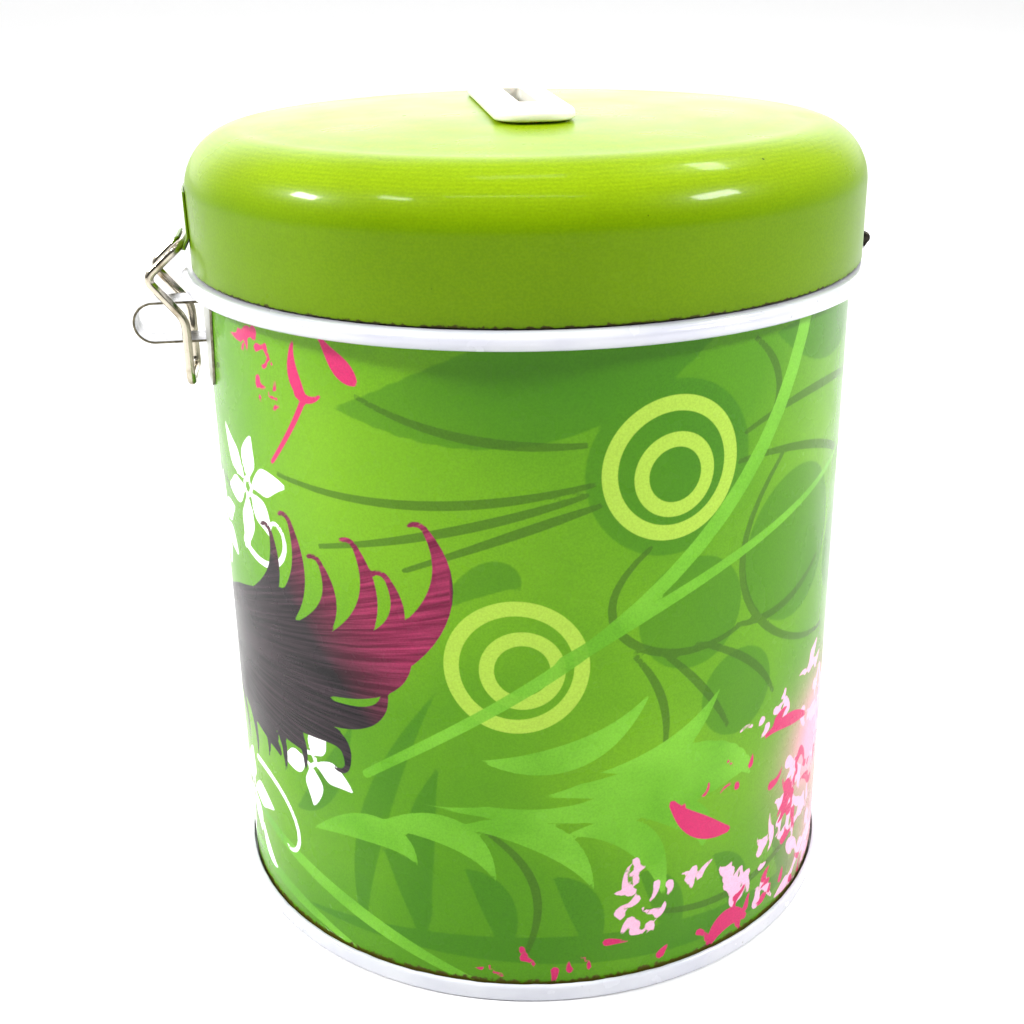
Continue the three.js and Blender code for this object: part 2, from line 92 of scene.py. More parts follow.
HINGE_OUT, HINGE_UP = 53.9, 104.5
PIN_R, PIN_HEAD, PIN_HEAD_HEIGHT, BORE = 0.5, 0.85, 0.3, 0.6
LEAF_SHEET, LEAF_WIDTH, LEAF_HEIGHT, LEAF_GAP = 0.35, 7, 6.6, 0.15
KNUCKLE_HALF, KNUCKLE_GAP, CURL_TURN = 1.2, 0.3, 5.1
LID_PLATE_FOOT, BODY_PLATE_TOP = 106.6, 97.2
RIVET_HEAD, RIVET_HEIGHT, RIVET_TAIL, RIVET_TAIL_HEIGHT, RIVET_SEAT = 1.3, 0.55, 1.1, 0.4, 0.1
LEAF_RIVETS, RIVET_SHANK = 3.8, 0.6

WIRE_R, WIRE_SPACING, WIRE_BEND, WIRE_CORNER, WIRE_BUTT = 0.7, 10.8, 1.6, 1.9, 0.3
WIRE_STATIONS = [(52.7, 107.9), (58.2, 103.1), (52.95, 96.6), (52.95, 86.6)]
BRACKET_SHEET, BRACKET_GAP, BRACKET_TOP, BRACKET_CURL = 0.3, 0.1, 116, 4.5
BRACKET_TOP_HALF, BRACKET_FOOT_HALF, BRACKET_CURL_HALF = 7.5, 9, 3.4
BRACKET_SIDE_TOP, BRACKET_SIDE_FOOT, BRACKET_FLARE_FOOT = 115, 109.6, 108.3
STRAP_SHEET, STRAP_WIDTH, STRAP_TOP, STRAP_FOOT, STRAP_TIP = 0.4, 6, 98.9, 92.4, 61.2
STRAP_END, STRAP_BEND, STRAP_GAP = 5, 0.8, 0.25
PLATE_GAP, PLATE_SHEET, PLATE_TOP, PLATE_FOOT = 0.1, 0.3, 101, 87.2
PLATE_TOP_HALF, PLATE_FOOT_HALF, PLATE_CORNER = 14, 11, 2.5

# ---- outlines


def arc(centre, radii, start, end, steps):
    """Points on an arc, both ends included."""
    angles = np.linspace(start, end, steps + 1)
    return [Vector((centre[0] + radii[0] * math.cos(a), centre[1] + radii[1] * math.sin(a))) for a in angles]


def rounded(points, cuts, steps=5, closed=False):
    """A polyline whose corners are cut back by the given lengths and rounded."""
    points = [Vector(p) for p in points]
    cuts = cuts if isinstance(cuts, list) else [cuts] * len(points)
    line = []
    for i, here in enumerate(points):
        is_end = not closed and i in (0, len(points) - 1)
        if is_end or not cuts[i]:
            line.append(here)
            continue
        back = points[i - 1] - here
        ahead = points[(i + 1) % len(points)] - here
        enter = here + back.normalized() * min(cuts[i], back.length / 2)
        leave = here + ahead.normalized() * min(cuts[i], ahead.length / 2)
        for step in range(steps + 1):
            t = step / steps
            line.append((1 - t) ** 2 * enter + 2 * t * (1 - t) * here + t * t * leave)
    return line


def rounded_rectangle(width, length, corner, up, steps=8):
    """A ring of points in the plane z = up, as many in each ring whatever its size."""
    x, y = width / 2 - corner, length / 2 - corner
    centres = [(x, -y), (x, y), (-x, y), (-x, -y)]
    ring = []
    for turn, centre in enumerate(centres):
        start = (turn - 1) * QUARTER_TURN
        ring += [Vector((*p, up)) for p in arc(centre, (corner, corner), start, start + QUARTER_TURN, steps)]
    return ring


def both_sides(line, thickness):
    """The two faces of a sheet of even thickness along a centre line."""
    faces = ([], [])
    for i, here in enumerate(line):
        before = (here - line[i - 1]) if i else (line[1] - here)
        after = (line[i + 1] - here) if i < len(line) - 1 else before
        first, second = before.normalized(), after.normalized()
        mitre = Vector((-first.y - second.y, first.x + second.x)).normalized()
        reach = thickness / 2 / max(0.5, mitre.dot(Vector((-first.y, first.x))))
        faces[0].append(here + mitre * reach)
        faces[1].append(here - mitre * reach)
    return faces


# ---- meshes


def lofted(rings, joined_ends=False, capped=False):
    """A skin over rings of equally many points."""
    bm = bmesh.new()
    loops = [[bm.verts.new(p) for p in ring] for ring in rings]
    if joined_ends:
        loops.append(loops[0])
    for low, high in zip(loops, loops[1:]):
        for i in range(len(low)):
            j = (i + 1) % len(low)
            bm.faces.new((low[i], low[j], high[j], high[i]))
    if capped:
        bm.faces.new(loops[0])
        bm.faces.new(loops[-1])
    return bm


def turned(profile, around=AROUND, closed=True):
    """A profile of (radius, height) turned round Z: a closed outline, or one whose ends are capped."""
    angles = np.arange(around) * 2 * HALF_TURN / around
    rings = [[(r * math.cos(a), r * math.sin(a), z) for a in angles] for r, z in profile]
    return lofted(rings, joined_ends=closed, capped=not closed)


def shaped_sheet(stations, thickness, radius, steps):
    """A sheet along stations of (place, half width, share). Where the share is 1 it follows the radius."""
    left, right = both_sides([spot for spot, _, _ in stations], thickness)
    outline = left + right[::-1]
    rings = []
    for across in np.linspace(-1, 1, steps + 1):
        ring = []
        for spot, (_, half, share) in zip(outline, stations + stations[::-1]):
            sag = radius - math.sqrt(radius ** 2 - (across * half) ** 2)
            ring.append((spot.x - sag * share, across * half, spot.y))
        rings.append(ring)
    bm = lofted(rings)
    bm.verts.ensure_lookup_table()
    count = len(outline)
    for end in (bm.verts[:count], bm.verts[-count:]):
        for i in range(len(stations) - 1):
            bm.faces.new((end[i], end[i + 1], end[count - 2 - i], end[count - 1 - i]))
    return bm


def bent_sheet(line, thickness, width, steps=1):
    """A sheet that follows a line in (out, up), carried straight across Y."""
    return shaped_sheet([(spot, width / 2, 0) for spot in line], thickness, width, steps)


def block(low, high):
    """A plain box as a cutting tool."""
    bm = bmesh.new()
    bmesh.ops.create_cube(bm, size=1)
    size = Vector(high) - Vector(low)
    middle = (Vector(high) + Vector(low)) / 2
    bm.transform(Matrix.Translation(middle) @ Matrix.Diagonal((*size, 1)))
    return bm


def in_scene(name, data):
    """A new object with this data, linked to the scene."""
    made = bpy.data.objects.new(name, data)
    bpy.context.scene.collection.objects.link(made)
    return made


def to_object(name, bm):
    """Turns a bmesh in millimetres into an object in metres, smooth but for its sharp edges."""
    bmesh.ops.recalc_face_normals(bm, faces=bm.faces)
    for face in bm.faces:
        face.smooth = True
    for edge in bm.edges:
        edge.smooth = not edge.is_manifold or edge.calc_face_angle(0) < SHARP_ANGLE
    bm.transform(Matrix.Scale(MM, 4))
    mesh = bpy.data.meshes.new(name)
    bm.to_mesh(mesh)
    bm.free()
    return in_scene(name, mesh)


def cut_away(piece, *tools, operation="DIFFERENCE"):
    """Cuts a piece with boxes and prisms, given as bmeshes in millimetres."""
    cutters = [to_object("cutter", tool) for tool in tools]
    for cutter in cutters:
        cut = piece.modifiers.new("cut", "BOOLEAN")
        cut.object = cutter
        cut.operation = operation
        cut.solver = "EXACT"
    depsgraph = bpy.context.evaluated_depsgraph_get()
    piece.data = bpy.data.meshes.new_from_object(piece.evaluated_get(depsgraph))
    piece.modifiers.clear()
    for cutter in cutters:
        bpy.data.objects.remove(cutter)


def soften(piece, width):
    """Rounds a piece's hard edges by a small bevel."""
    bevel = piece.modifiers.new("edges", "BEVEL")
    bevel.width = width * MM
    bevel.segments = 3
    bevel.limit_method = "ANGLE"
    bevel.angle_limit = SHARP_ANGLE
    piece.modifiers.new("normals", "WEIGHTED_NORMAL")


def place(piece, body, slot, materials, *nodes):
    """Gives a finished piece its materials and its place in the frame."""
    piece.data.materials.clear()
    for material in materials:
        piece.data.materials.append(material)
    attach(piece, body)
    if nodes:
        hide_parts(*nodes)


def paint(piece, is_second):
    """Gives the second material to faces, told by their centre in millimetres and their normal."""
    for face in piece.data.polygons:
        if is_second(face.center / MM, face.normal):
            face.material_index = 1


# ---- materials


def srgb(red, green, blue):
    """A colour on the usual 0 to 255 scale, made linear."""
    parts = [c / 255 for c in (red, green, blue)]
    return (*[c / 12.92 if c <= 0.04045 else ((c + 0.055) / 1.055) ** 2.4 for c in parts], 1)


class Nodes:
    """Short calls for the nodes of a tree, over places given by one kind of coordinate."""

    def __init__(self, tree, coordinate):
        self.tree = tree
        self.place = tree.nodes.new("ShaderNodeTexCoord").outputs[coordinate]

    def feed(self, socket, value):
        if isinstance(value, bpy.types.NodeSocket):
            self.tree.links.new(value, socket)
        elif value is not None:
            socket.default_value = value

    def node(self, kind, *values, **named):
        """A new node whose inputs take the values in order, and the named ones by name."""
        node = self.tree.nodes.new("ShaderNode" + kind)
        for socket, value in zip(node.inputs, values):
            self.feed(socket, value)
        for name, value in named.items():
            self.feed(node.inputs[name], value)
        return node

    def math(self, operation, first, second=None, clamp=False):
        node = self.node("Math", first, second)
        node.operation = operation
        node.use_clamp = clamp
        return node.outputs[0]

    def stretched(self, share):
        """Places whose height counts for less, so that noise over them is drawn out upwards."""
        return self.node("Mapping", Vector=self.place, Scale=(1, 1, share)).outputs[0]

    def joined(self, x, y, z=0.0):
        return self.node("CombineXYZ", x, y, z).outputs[0]

    def along(self, axis):
        return self.node("SeparateXYZ", self.place).outputs[axis]

    def noise(self, size, detail=2, vector=None, roughness=0.5):
        """Noise whose features are about size millimetres across."""
        made = self.node("TexNoise", Vector=vector or self.place, Scale=1 / (size * MM), Detail=detail,
                         Roughness=roughness)
        return made.outputs["Fac"]

    def cells(self, size):
        return self.node("TexVoronoi", Vector=self.place, Scale=1 / (size * MM)).outputs["Distance"]

    def levels(self, value, low, high, bottom=0.0, top=1.0, shape="LINEAR"):
        """Maps low..high to bottom..top, held at both ends."""
        node = self.node("MapRange", value, low, high, bottom, top)
        node.interpolation_type = shape
        return node.outputs[0]

    def mottle(self, size, detail=2, bottom=0.0, top=1.0, low=0.3, high=0.7):
        """Noise whose low..high becomes bottom..top."""
        return self.levels(self.noise(size, detail), low, high, bottom, top)

    def two_tone(self, size, detail, first, second):
        """Patches of one colour in another."""
        return self.mix(self.mottle(size, detail, low=0.35, high=0.65), first, second)

    def mix(self, share, first, second, blend="MIX"):
        node = self.node("Mix", Factor=share)
        node.data_type = "RGBA"
        node.blend_type = blend
        self.feed(node.inputs[6], first)
        self.feed(node.inputs[7], second)
        return node.outputs[2]

    def stored(self, name):
        node = self.node("Attribute")
        node.attribute_name = name
        return node.outputs["Fac"]


class Finish(Nodes):
    """A node material with a Principled surface, whose colour is built up in layers."""

    def __init__(self, name, **values):
        self.colour = None
        self.material = bpy.data.materials.new(name)
        self.material.use_nodes = True
        super().__init__(self.material.node_tree, "Object")
        self.surface = self.tree.nodes["Principled BSDF"]
        for key, value in values.items():
            self.surface.inputs[key.replace("_", " ").title().replace("Ior", "IOR")].default_value = value

    def height(self):
        """The height above the floor at rest, in millimetres."""
        return self.math("DIVIDE", self.along("Z"), MM)

    def bump(self, height, strength, depth=0.1):
        node = self.node("Bump", Strength=strength, Distance=depth * MM, Height=height)
        self.feed(self.surface.inputs["Normal"], node.outputs[0])

    def lay(self, share, colour, blend="MIX"):
        """Lays a share of a colour over what is there."""
        self.colour = self.mix(share, self.colour, colour, blend)

    def speckle(self, speckles):
        self.lay(1.0, self.joined(speckles, speckles, speckles), "MULTIPLY")

    def finished(self, roughness):
        self.feed(self.surface.inputs["Base Color"], self.colour)
        self.feed(self.surface.inputs["Roughness"], roughness)
        return self.material


def printed_wall():
    """Glossy lithograph: the inks are signed distances stored on the wall, cut sharp here."""
    finish = Finish("printed_wall", coat_weight=0.15, coat_roughness=0.08, specular_ior_level=0.08)

    def ink(name, colour, strength=1.0, soft=0.16):
        finish.lay(finish.levels(finish.stored(name), -soft / 2, soft / 2, 0.0, strength), colour)

    glow = finish.math("ADD", finish.stored("glow"), finish.mottle(26, 3, -0.14, 0.14), clamp=True)
    finish.colour = finish.mix(finish.levels(glow, 0.0, 0.5), srgb(74, 130, 6), srgb(98, 150, 13))
    finish.lay(finish.levels(glow, 0.5, 1.0), srgb(115, 164, 23))
    ink("shade", srgb(38, 98, 6), 0.48, 0.3)
    ink("vein", srgb(56, 92, 14), 0.72)
    ink("ring", srgb(162, 194, 68), 0.86)
    ink("leaf", finish.two_tone(14, 2, srgb(90, 154, 26), srgb(112, 176, 46)), 0.92)
    finish.lay(finish.levels(finish.stored("wash"), 0.0, 1.0, 0.0, 0.85), srgb(244, 150, 190))
    ink("blush", srgb(232, 172, 202), 0.95)
    ink("pink", srgb(188, 38, 94))
    ink("white", srgb(246, 250, 244))
    barbs = finish.joined(
        finish.math("MULTIPLY", finish.stored("barb_angle"), 0.2),
        finish.math("MULTIPLY", finish.stored("barb_reach"), 0.00009),
    )
    streak = finish.levels(finish.noise(2.2, 3, barbs, 0.65), 0.4, 0.7)
    dark = finish.mix(streak, srgb(18, 14, 17), srgb(58, 44, 51))
    magenta = finish.mix(streak, srgb(100, 18, 50), srgb(160, 48, 88))
    ink("plume", finish.mix(finish.stored("tone"), dark, magenta))
    residue = finish.math("ADD", finish.height(), finish.mottle(1.1, 4, -0.45, 0.45))
    finish.lay(finish.levels(residue, RING_TOP + 0.5, RING_TOP + 0.15), srgb(74, 70, 20))
    finish.speckle(finish.mottle(0.28, 1, 0.9, 1.08))
    finish.bump(finish.noise(2.6, 3), 0.06, 0.05)
    return finish.finished(finish.mottle(9, 4, 0.24, 0.38, low=0.45, high=0.8))


def lid_lacquer():
    """Lime lacquer over a fine print of wavy horizontal lines, with painted shade on the skirt and painted
    light on the crown.
    """
    finish = Finish("lid_lacquer", coat_weight=0.1, coat_roughness=0.08, specular_ior_level=0.04)
    line_spacing = 0.46
    waviness = finish.math("MULTIPLY", finish.noise(3.4, 2), 7.0)
    phase = finish.math("MULTIPLY", finish.height(), 2 * HALF_TURN / line_spacing)
    lines = finish.math("SINE", finish.math("ADD", phase, waviness))
    broken = finish.math("MULTIPLY", lines, finish.mottle(1.3, low=0.35, high=0.65))
    cloud = finish.mottle(20, 3)
    # Painted light and shade: the skirt colour is darker and the crown colour lighter, and height blends
    # them.
    skirt = finish.mix(cloud, srgb(92, 123, 1), srgb(100, 131, 2))
    crown = finish.mix(cloud, srgb(127, 153, 4), srgb(135, 163, 6))
    finish.colour = finish.mix(finish.levels(finish.height(), 116.5, 121.5), skirt, crown)
    finish.lay(finish.levels(broken, -1, 1, 0.0, 0.34), srgb(86, 128, 4))
    finish.speckle(finish.mottle(0.32, 1, 0.92, 1.06, low=0.35, high=0.65))
    finish.lay(finish.levels(finish.cells(7.5), 0.03, 0.022), srgb(64, 84, 10))
    rust = finish.math("ADD", finish.height(), finish.mottle(0.9, 4, -0.3, 0.3))
    finish.lay(finish.levels(rust, LID_FOOT + 0.35, LID_FOOT + 0.15), srgb(58, 52, 16))
    finish.bump(finish.math("ADD", finish.noise(4.5, 2), finish.math("MULTIPLY", broken, 0.05)), 0.08, 0.06)
    return finish.finished(finish.mottle(12, 4, 0.26, 0.34))


def white_enamel():
    """White stoving enamel, faintly lavender, with small grey rubs."""
    finish = Finish("white_enamel", coat_weight=0.5, coat_roughness=0.1)
    finish.colour = finish.two_tone(9, 3, srgb(200, 201, 208), srgb(190, 191, 202))
    rubs = finish.math("MULTIPLY", finish.mottle(0.7, 3, low=0.66, high=0.76),
                       finish.mottle(16, low=0.5, high=0.62))
    finish.lay(rubs, srgb(150, 150, 148))
    finish.bump(finish.noise(1.8, 3), 0.1, 0.05)
    return finish.finished(finish.mottle(5, 3, 0.16, 0.3))


def ivory_plastic(name, unshaded_share=1.0):
    """Moulded plastic with a soft gloss and a fine moulded grain. A share below one greys it as painted
    shade, for the inside of the slot.
    """
    finish = Finish(name, subsurface_weight=0.12, subsurface_scale=0.002, coat_weight=0.25,
                    coat_roughness=0.2)
    finish.colour = finish.mix(finish.mottle(7, 3), srgb(247, 246, 234), srgb(240, 239, 222))
    # painted shade: grey laid over the plastic by the share that is not left bright
    finish.lay(1 - unshaded_share, srgb(112, 104, 108))
    finish.bump(finish.noise(0.5, 2), 0.08, 0.03)
    return finish.finished(finish.mottle(3, 3, 0.3, 0.42))


def nickel_plate():
    """Bright nickel with drawing marks, faint brown stains and dull rubs."""
    finish = Finish("nickel", metallic=1.0)
    stain = finish.levels(finish.noise(3.2, 4, roughness=0.65), 0.5, 0.75)
    finish.colour = finish.mix(stain, srgb(196, 188, 170), srgb(128, 112, 84))
    marks = finish.noise(0.5, 3, finish.stretched(0.1))
    finish.bump(marks, 0.12, 0.03)
    return finish.finished(finish.mottle(2, 4, 0.08, 0.26))


def dull_metal(name, dark, pale, roughness):
    """Bare or worn metal, mottled between two shades."""
    finish = Finish(name, metallic=1.0)
    finish.colour = finish.two_tone(0.8, 3, dark, pale)
    finish.bump(finish.noise(0.3, 2), 0.2, 0.03)
    return finish.finished(finish.mottle(1.5, 3, roughness, roughness + 0.15))


def dark_steel():
    # Near-black hinge steel: the darkness is partly the steel's own and partly painted shade on the shadowed
    # hinge.
    return dull_metal("dark_steel", srgb(26, 24, 22), srgb(58, 54, 48), 0.4)


def bright_tinplate():
    """Tinplate with rolling streaks, a soft spangle and dull patches."""
    finish = Finish("tinplate", metallic=1.0)
    streaks = finish.noise(0.7, 3, finish.stretched(0.06))
    spangle = finish.levels(finish.cells(3.2), 0.2, 0.8)
    shade = finish.math("ADD", finish.math("MULTIPLY", streaks, 0.7), finish.math("MULTIPLY", spangle, 0.3))
    finish.colour = finish.mix(shade, srgb(168, 172, 162), srgb(204, 206, 196))
    finish.bump(streaks, 0.1, 0.03)
    return finish.finished(finish.mottle(6, 4, 0.27, 0.34))


# ---- the print on the wall


class Print:
    """Inks as signed distances in millimetres, positive inside, over points of the unrolled wall.

    A place is (s, z): s runs round the wall from the front towards +X, z is the height. The print
    comes twice round the tin, so s repeats after half a turn of the wall.
    """

    FAR = -4.0

    def __init__(self, s, z):
        self.s = s
        self.z = z
        self.period = HALF_TURN * WALL_R
        self.inks = {}

    def beside(self, s0):
        """How far each point is to the right of s0, on the nearest repeat."""
        return (self.s - s0 + self.period / 2) % self.period - self.period / 2

    def ink(self, name):
        return self.inks.setdefault(name, np.full(self.s.shape, self.FAR))

    def ring(self, name, centre, outer, width):
        gap = np.hypot(self.beside(centre[0]), self.z - centre[1])
        np.maximum(self.ink(name), width / 2 - abs(gap - outer + width / 2), out=self.ink(name))

    def disc(self, name, centre, radius):
        self.ring(name, centre, radius, 2 * radius)

    def stroke(self, name, points, half_width, steps=18, cut=False):
        """A brush stroke on the Bezier curve of the points. half_width is a number or a function of 0..1."""
        line = bezier(points, steps)
        centre = line.mean(axis=0)
        line = line - centre
        shares = np.linspace(0, 1, steps + 1)
        halves = [half_width(t) if callable(half_width) else half_width for t in shares]
        x = self.beside(centre[0])
        y = self.z - centre[1]
        reach = abs(line).max(axis=0) + max(halves) - self.FAR
        near = np.nonzero((abs(x) < reach[0]) & (abs(y) < reach[1]))[0]
        x, y = x[near], y[near]
        best = np.full(x.shape, self.FAR)
        for a, b, wide_a, wide_b in zip(line, line[1:], halves, halves[1:]):
            along = b - a
            t = np.clip(((x - a[0]) * along[0] + (y - a[1]) * along[1]) / (along @ along), 0, 1)
            gap = np.hypot(x - a[0] - t * along[0], y - a[1] - t * along[1])
            np.maximum(best, wide_a + (wide_b - wide_a) * t - gap, out=best)
        ink = self.ink(name)
        ink[near] = np.minimum(ink[near], -best) if cut else np.maximum(ink[near], best)

    def strokes(self, name, half_width, *lines):
        for points in lines:
            self.stroke(name, points, half_width)

    def glow(self, name, centre, spread, amount):
        level = self.inks.setdefault(name, np.zeros(self.s.shape))
        x = self.beside(centre[0]) / spread[0]
        y = (self.z - centre[1]) / spread[1]
        level += amount * np.exp(-(x * x + y * y))


def bezier(points, steps):
    """The Bezier curve that the points control, as an array of places."""
    points = np.array(points, float)
    t = np.linspace(0, 1, steps + 1)[:, None]
    degree = len(points) - 1
    weights = [math.comb(degree, k) * t ** k * (1 - t) ** (degree - k) for k in range(degree + 1)]
    return sum(w * p for w, p in zip(weights, points))


def tapered(start, end=0.0, power=1.0):
    return lambda t: end + (start - end) * (1 - t) ** power


def swollen(widest, at=0.5, end=0.0):
    """A half width that is nothing at the start, widest part of the way, and narrows again."""
    power = math.log(0.5) / math.log(at)
    return lambda t: end + (widest - end) * math.sin(HALF_TURN * min(t, 1) ** power)


def towards(start, angle, length, sideways=0.0):
    """A place at a distance and angle from another, moved to the side."""
    along = Vector((math.cos(angle), math.sin(angle)))
    across = Vector((-along.y, along.x))
    return Vector(start) + along * length + across * sideways


def draw_ground(art):
    """The soft glows under the print, and the pink wash at the right."""
    for name, *values in (
        ("glow", (-34, 84), (22, 20), 0.75),
        ("glow", (-8, 66), (26, 18), 0.4),
        ("glow", (24, 44), (20, 26), 0.4),
        ("glow", (44, 80), (14, 22), 0.55),
        ("glow", (8, 32), (22, 12), 0.25),
        ("glow", (-62, 22), (16, 22), 0.5),
        ("wash", (52, 28), (11, 10), 1.15),
        ("wash", (60, 8), (12, 8), 0.9),
    ):
        art.glow(name, *values)


def draw_shades(art):
    """Broad shapes in a darker green."""
    art.disc("shade", (13.2, 84), 12.4)
    art.stroke("shade", [(-34, 92), (-12, 93), (6, 99), (26, 108)], swollen(7.5))
    art.stroke("shade", [(30, 100), (44, 96), (62, 97)], swollen(4))
    for centre, radius in (((17, 62), 8.5), ((38, 67), 12), ((26, 47), 7), ((58, 60), 8), ((76, 86), 7)):
        art.disc("shade", centre, radius)
    art.strokes("shade", swollen(2.3), [(-34, 6), (-36, 26), (-20, 52)], [(-22, 14), (-26, 26), (-20, 40)],
                [(-48, 24), (-40, 28), (-34, 44)], [(-20, 64), (-10, 74), (-8, 68)])
    for i in range(7):
        s = -30 + 13 * i
        art.stroke("shade", [(s, 24 - i), (s + 7, 20 - i), (s + 6, 8 - i)], swollen(2.6))
    art.strokes("shade", swollen(2.6), [(-50, 6), (-10, 14), (30, 3), (52, 9)], [(66, 30), (76, 22), (80, 8)])
    art.stroke("shade", [(62, 52), (70, 34), (82, 24)], swollen(3.2))


def draw_veins(art):
    """Thin darker lines that sweep in from the left and loop at the right."""
    art.strokes(
        "vein", swollen(0.7, 0.6, 0.38),
        [(-30, 94), (-16, 88), (1, 88.5)], [(-46, 80), (-22, 78), (2, 83)],
        [(-38, 71), (-18, 76), (1, 81.5)], [(-24, 70), (-8, 77), (3, 80)], [(25, 87), (38, 92), (58, 88)],
        [(24, 83), (40, 84), (60, 74)], [(62, 96), (72, 86), (94, 92)], [(60, 66), (76, 78), (98, 72)],
    )
    art.strokes(
        "vein", swollen(0.68, 0.5, 0.38),
        [(33, 82), (16, 66), (30, 50), (52, 48)], [(10, 73), (-4, 62), (12, 52), (26, 58)],
        [(8, 57), (14, 50), (13, 42)], [(12, 57), (20, 50), (24, 42)], [(18, 57), (30, 52), (34, 44)],
        [(46, 62), (36, 56), (25, 58)], [(26, 100), (34, 94), (30, 88)], [(-14, 30), (-2, 22), (-8, 8)],
        [(10, 14), (26, 8), (48, 16)],
    )


def draw_rings(art):
    """Two pairs of concentric rings."""
    for outer_centre, inner_centre in (((13.2, 84), (13.5, 83.1)), ((-8.6, 56.4), (-7.8, 56))):
        art.ring("ring", outer_centre, 10.2, 2.2)
        art.ring("ring", inner_centre, 6, 2.1)


def draw_leaves(art):
    """Bright bands that cross the wall, and a spray of pointed leaves."""
    art.stroke("leaf", [(-32, 36), (-8, 54), (30, 72), (38, 104)], tapered(0.7, 1.5))
    art.stroke("leaf", [(-2, 57), (22, 72), (64, 78)], tapered(1.1, 0.35))
    art.stroke("leaf", [(-70, 17), (-44, 16), (-30, 8), (-14, 2)], swollen(1.3, 0.5, 0.5))
    art.stroke("leaf", [(-74, 7), (-56, 9), (-36, 3)], swollen(1.2, 0.5, 0.4))
    art.stroke("leaf", [(-24, 33), (4, 32), (18, 40), (30, 33)], swollen(5.2, 0.62))
    art.strokes("leaf", swollen(2.2, 0.45), [(-14, 41.5), (2, 39), (10.6, 51)],
                [(-2, 38), (14, 36), (22.5, 49)], [(10, 36), (22, 41), (30, 31)])
    art.strokes("leaf", swollen(2.5, 0.5), [(-44, 22), (-28, 31), (-24, 22)],
                [(-32, 27), (-16, 34), (-12, 21)], [(-18, 30), (-2, 33), (2.4, 19)],
                [(-2, 29), (12, 32), (13.5, 15)], [(6, 32), (22, 30), (20, 22)])
    for start, end in (((-14, 38.2), (6, 38.6)), ((-20, 34.4), (3, 34.8))):
        art.stroke("leaf", [start, end], swollen(0.95, 0.6), cut=True)


def draw_flower(art, centre, petal, count, turn, width):
    """A flower of pointed petals round a small ring."""
    for i in range(count):
        angle = turn + 2 * HALF_TURN * i / count
        reach = petal * (0.86 + 0.14 * math.cos(3 * angle))
        bend = towards(centre, angle, reach * 0.55, 0.12 * reach)
        art.stroke("white", [towards(centre, angle, 1.5), bend, towards(centre, angle, reach)],
                   lambda t: 0.1 + width * min(t / 0.45, (1 - t) / 0.55) ** 0.85)
    art.ring("white", centre, 1.5, 0.7)


def draw_curl(art, start, angle, length, turns, half_width):
    """A tendril that winds up into a small spiral."""
    steps = 26
    here = Vector(start)
    path = [here]
    for i in range(steps):
        angle += turns * 2 * HALF_TURN / steps * (0.35 + 1.3 * i / steps)
        here = towards(here, angle, length / steps * (1.5 - 1.2 * i / steps))
        path.append(here)
    for i in range(0, steps - 1, 2):
        share = 1 - i / steps
        art.stroke("white", path[i:i + 3], half_width * (0.45 + 0.55 * share), steps=4)


def draw_flowers(art):
    """White flowers and tendrils at the left of the print."""
    draw_flower(art, (-55, 75.5), 11.5, 6, 0.25, 2.05)
    draw_flower(art, (-43.5, 34.5), 9.6, 5, -0.3, 1.9)
    draw_flower(art, (-69, 66), 9.5, 6, 0.5, 1.8)
    draw_flower(art, (-67, 18), 11, 5, 0.1, 2.2)
    draw_curl(art, (-58, 66), -0.5, 22, 0.75, 0.6)
    draw_curl(art, (-62, 26), 0.1, 26, -0.62, 0.6)
    for angle in (2.3, 3.3, 4.3, 5.4):
        leaf = [towards((-67, 18), angle, *spot) for spot in ((6, 1), (11, -2), (15, 1.5))]
        art.stroke("white", leaf, swollen(1.3))


def draw_plume(art):
    """A dark bundle of hooked feathers that reaches to the right, magenta towards its upper tips."""
    root = Vector((-96, 44))
    feathers = 13
    for i in range(feathers):
        share = i / (feathers - 1)
        angle = 0.3 - 0.52 * share
        reach = 38 + 20 * math.sin(HALF_TURN * (0.1 + 0.56 * (1 - share))) + 2 * (-1) ** i
        hook = 6 * (0.55 - share)
        bend = towards(root, angle, reach * 0.66, -0.3 * hook)
        near_tip = towards(root, angle, reach * 0.96, -0.1 * hook)
        art.stroke("plume", [towards(root, angle, 4), bend, near_tip, towards(root, angle, reach, hook)],
                   lambda t: 3.2 * (1 - t ** 2.2) * min(1, 0.06 + 2.6 * t) + 0.12, steps=24)
    locks = [
        (2.3, (-66, 52), (-52, 57), (-47, 62), (-49, 70)),
        (2.3, (-62, 50), (-46, 56), (-40, 63), (-44, 73)),
        (2.3, (-58, 50), (-40, 54), (-34, 61), (-38, 68)),
        (2.5, (-56, 48), (-34, 52), (-26, 62), (-31.5, 72)),
        (2.0, (-46, 54), (-31, 54), (-22, 60), (-26.5, 68)),
        (3.0, (-54, 48), (-28, 50), (-13, 64), (-20.5, 76)),
        (2.3, (-56, 48), (-38, 50), (-25, 49), (-24, 57)),
        (2.3, (-58, 45), (-40, 44), (-29, 43), (-28, 50)),
        (2.2, (-62, 42), (-46, 38), (-34, 45), (-35.5, 36)),
    ]
    for widest, foot, bend, rise, tip in locks:
        curl = math.copysign(1.6, tip[1] - rise[1])
        art.stroke("plume", [foot, bend, rise, tip], swollen(widest, 0.36, 0.5), steps=26)
        art.stroke("plume", [tip, (tip[0] - 0.8, tip[1] + curl), (tip[0] - 2.6, tip[1] + curl / 2)],
                   tapered(0.5, 0.34), steps=6)
    for i in range(5):
        s, z = -68 + 5.5 * i, 33 + 1.2 * i
        tip = (s + 1, z - 6 - 1.5 * (i % 2))
        art.stroke("plume", [(s - 6, z + 4), (s + 3, z + 1), tip], tapered(1.8, 0.12, 0.8))
    x = art.beside(root.x)
    y = art.z - root.y
    art.inks["barb_angle"] = np.arctan2(y, x)
    art.inks["barb_reach"] = np.hypot(x, y)
    art.inks["tone"] = np.clip((x - 54) / 17 + (y - 13) / 20, 0, 1) * (x > 0)


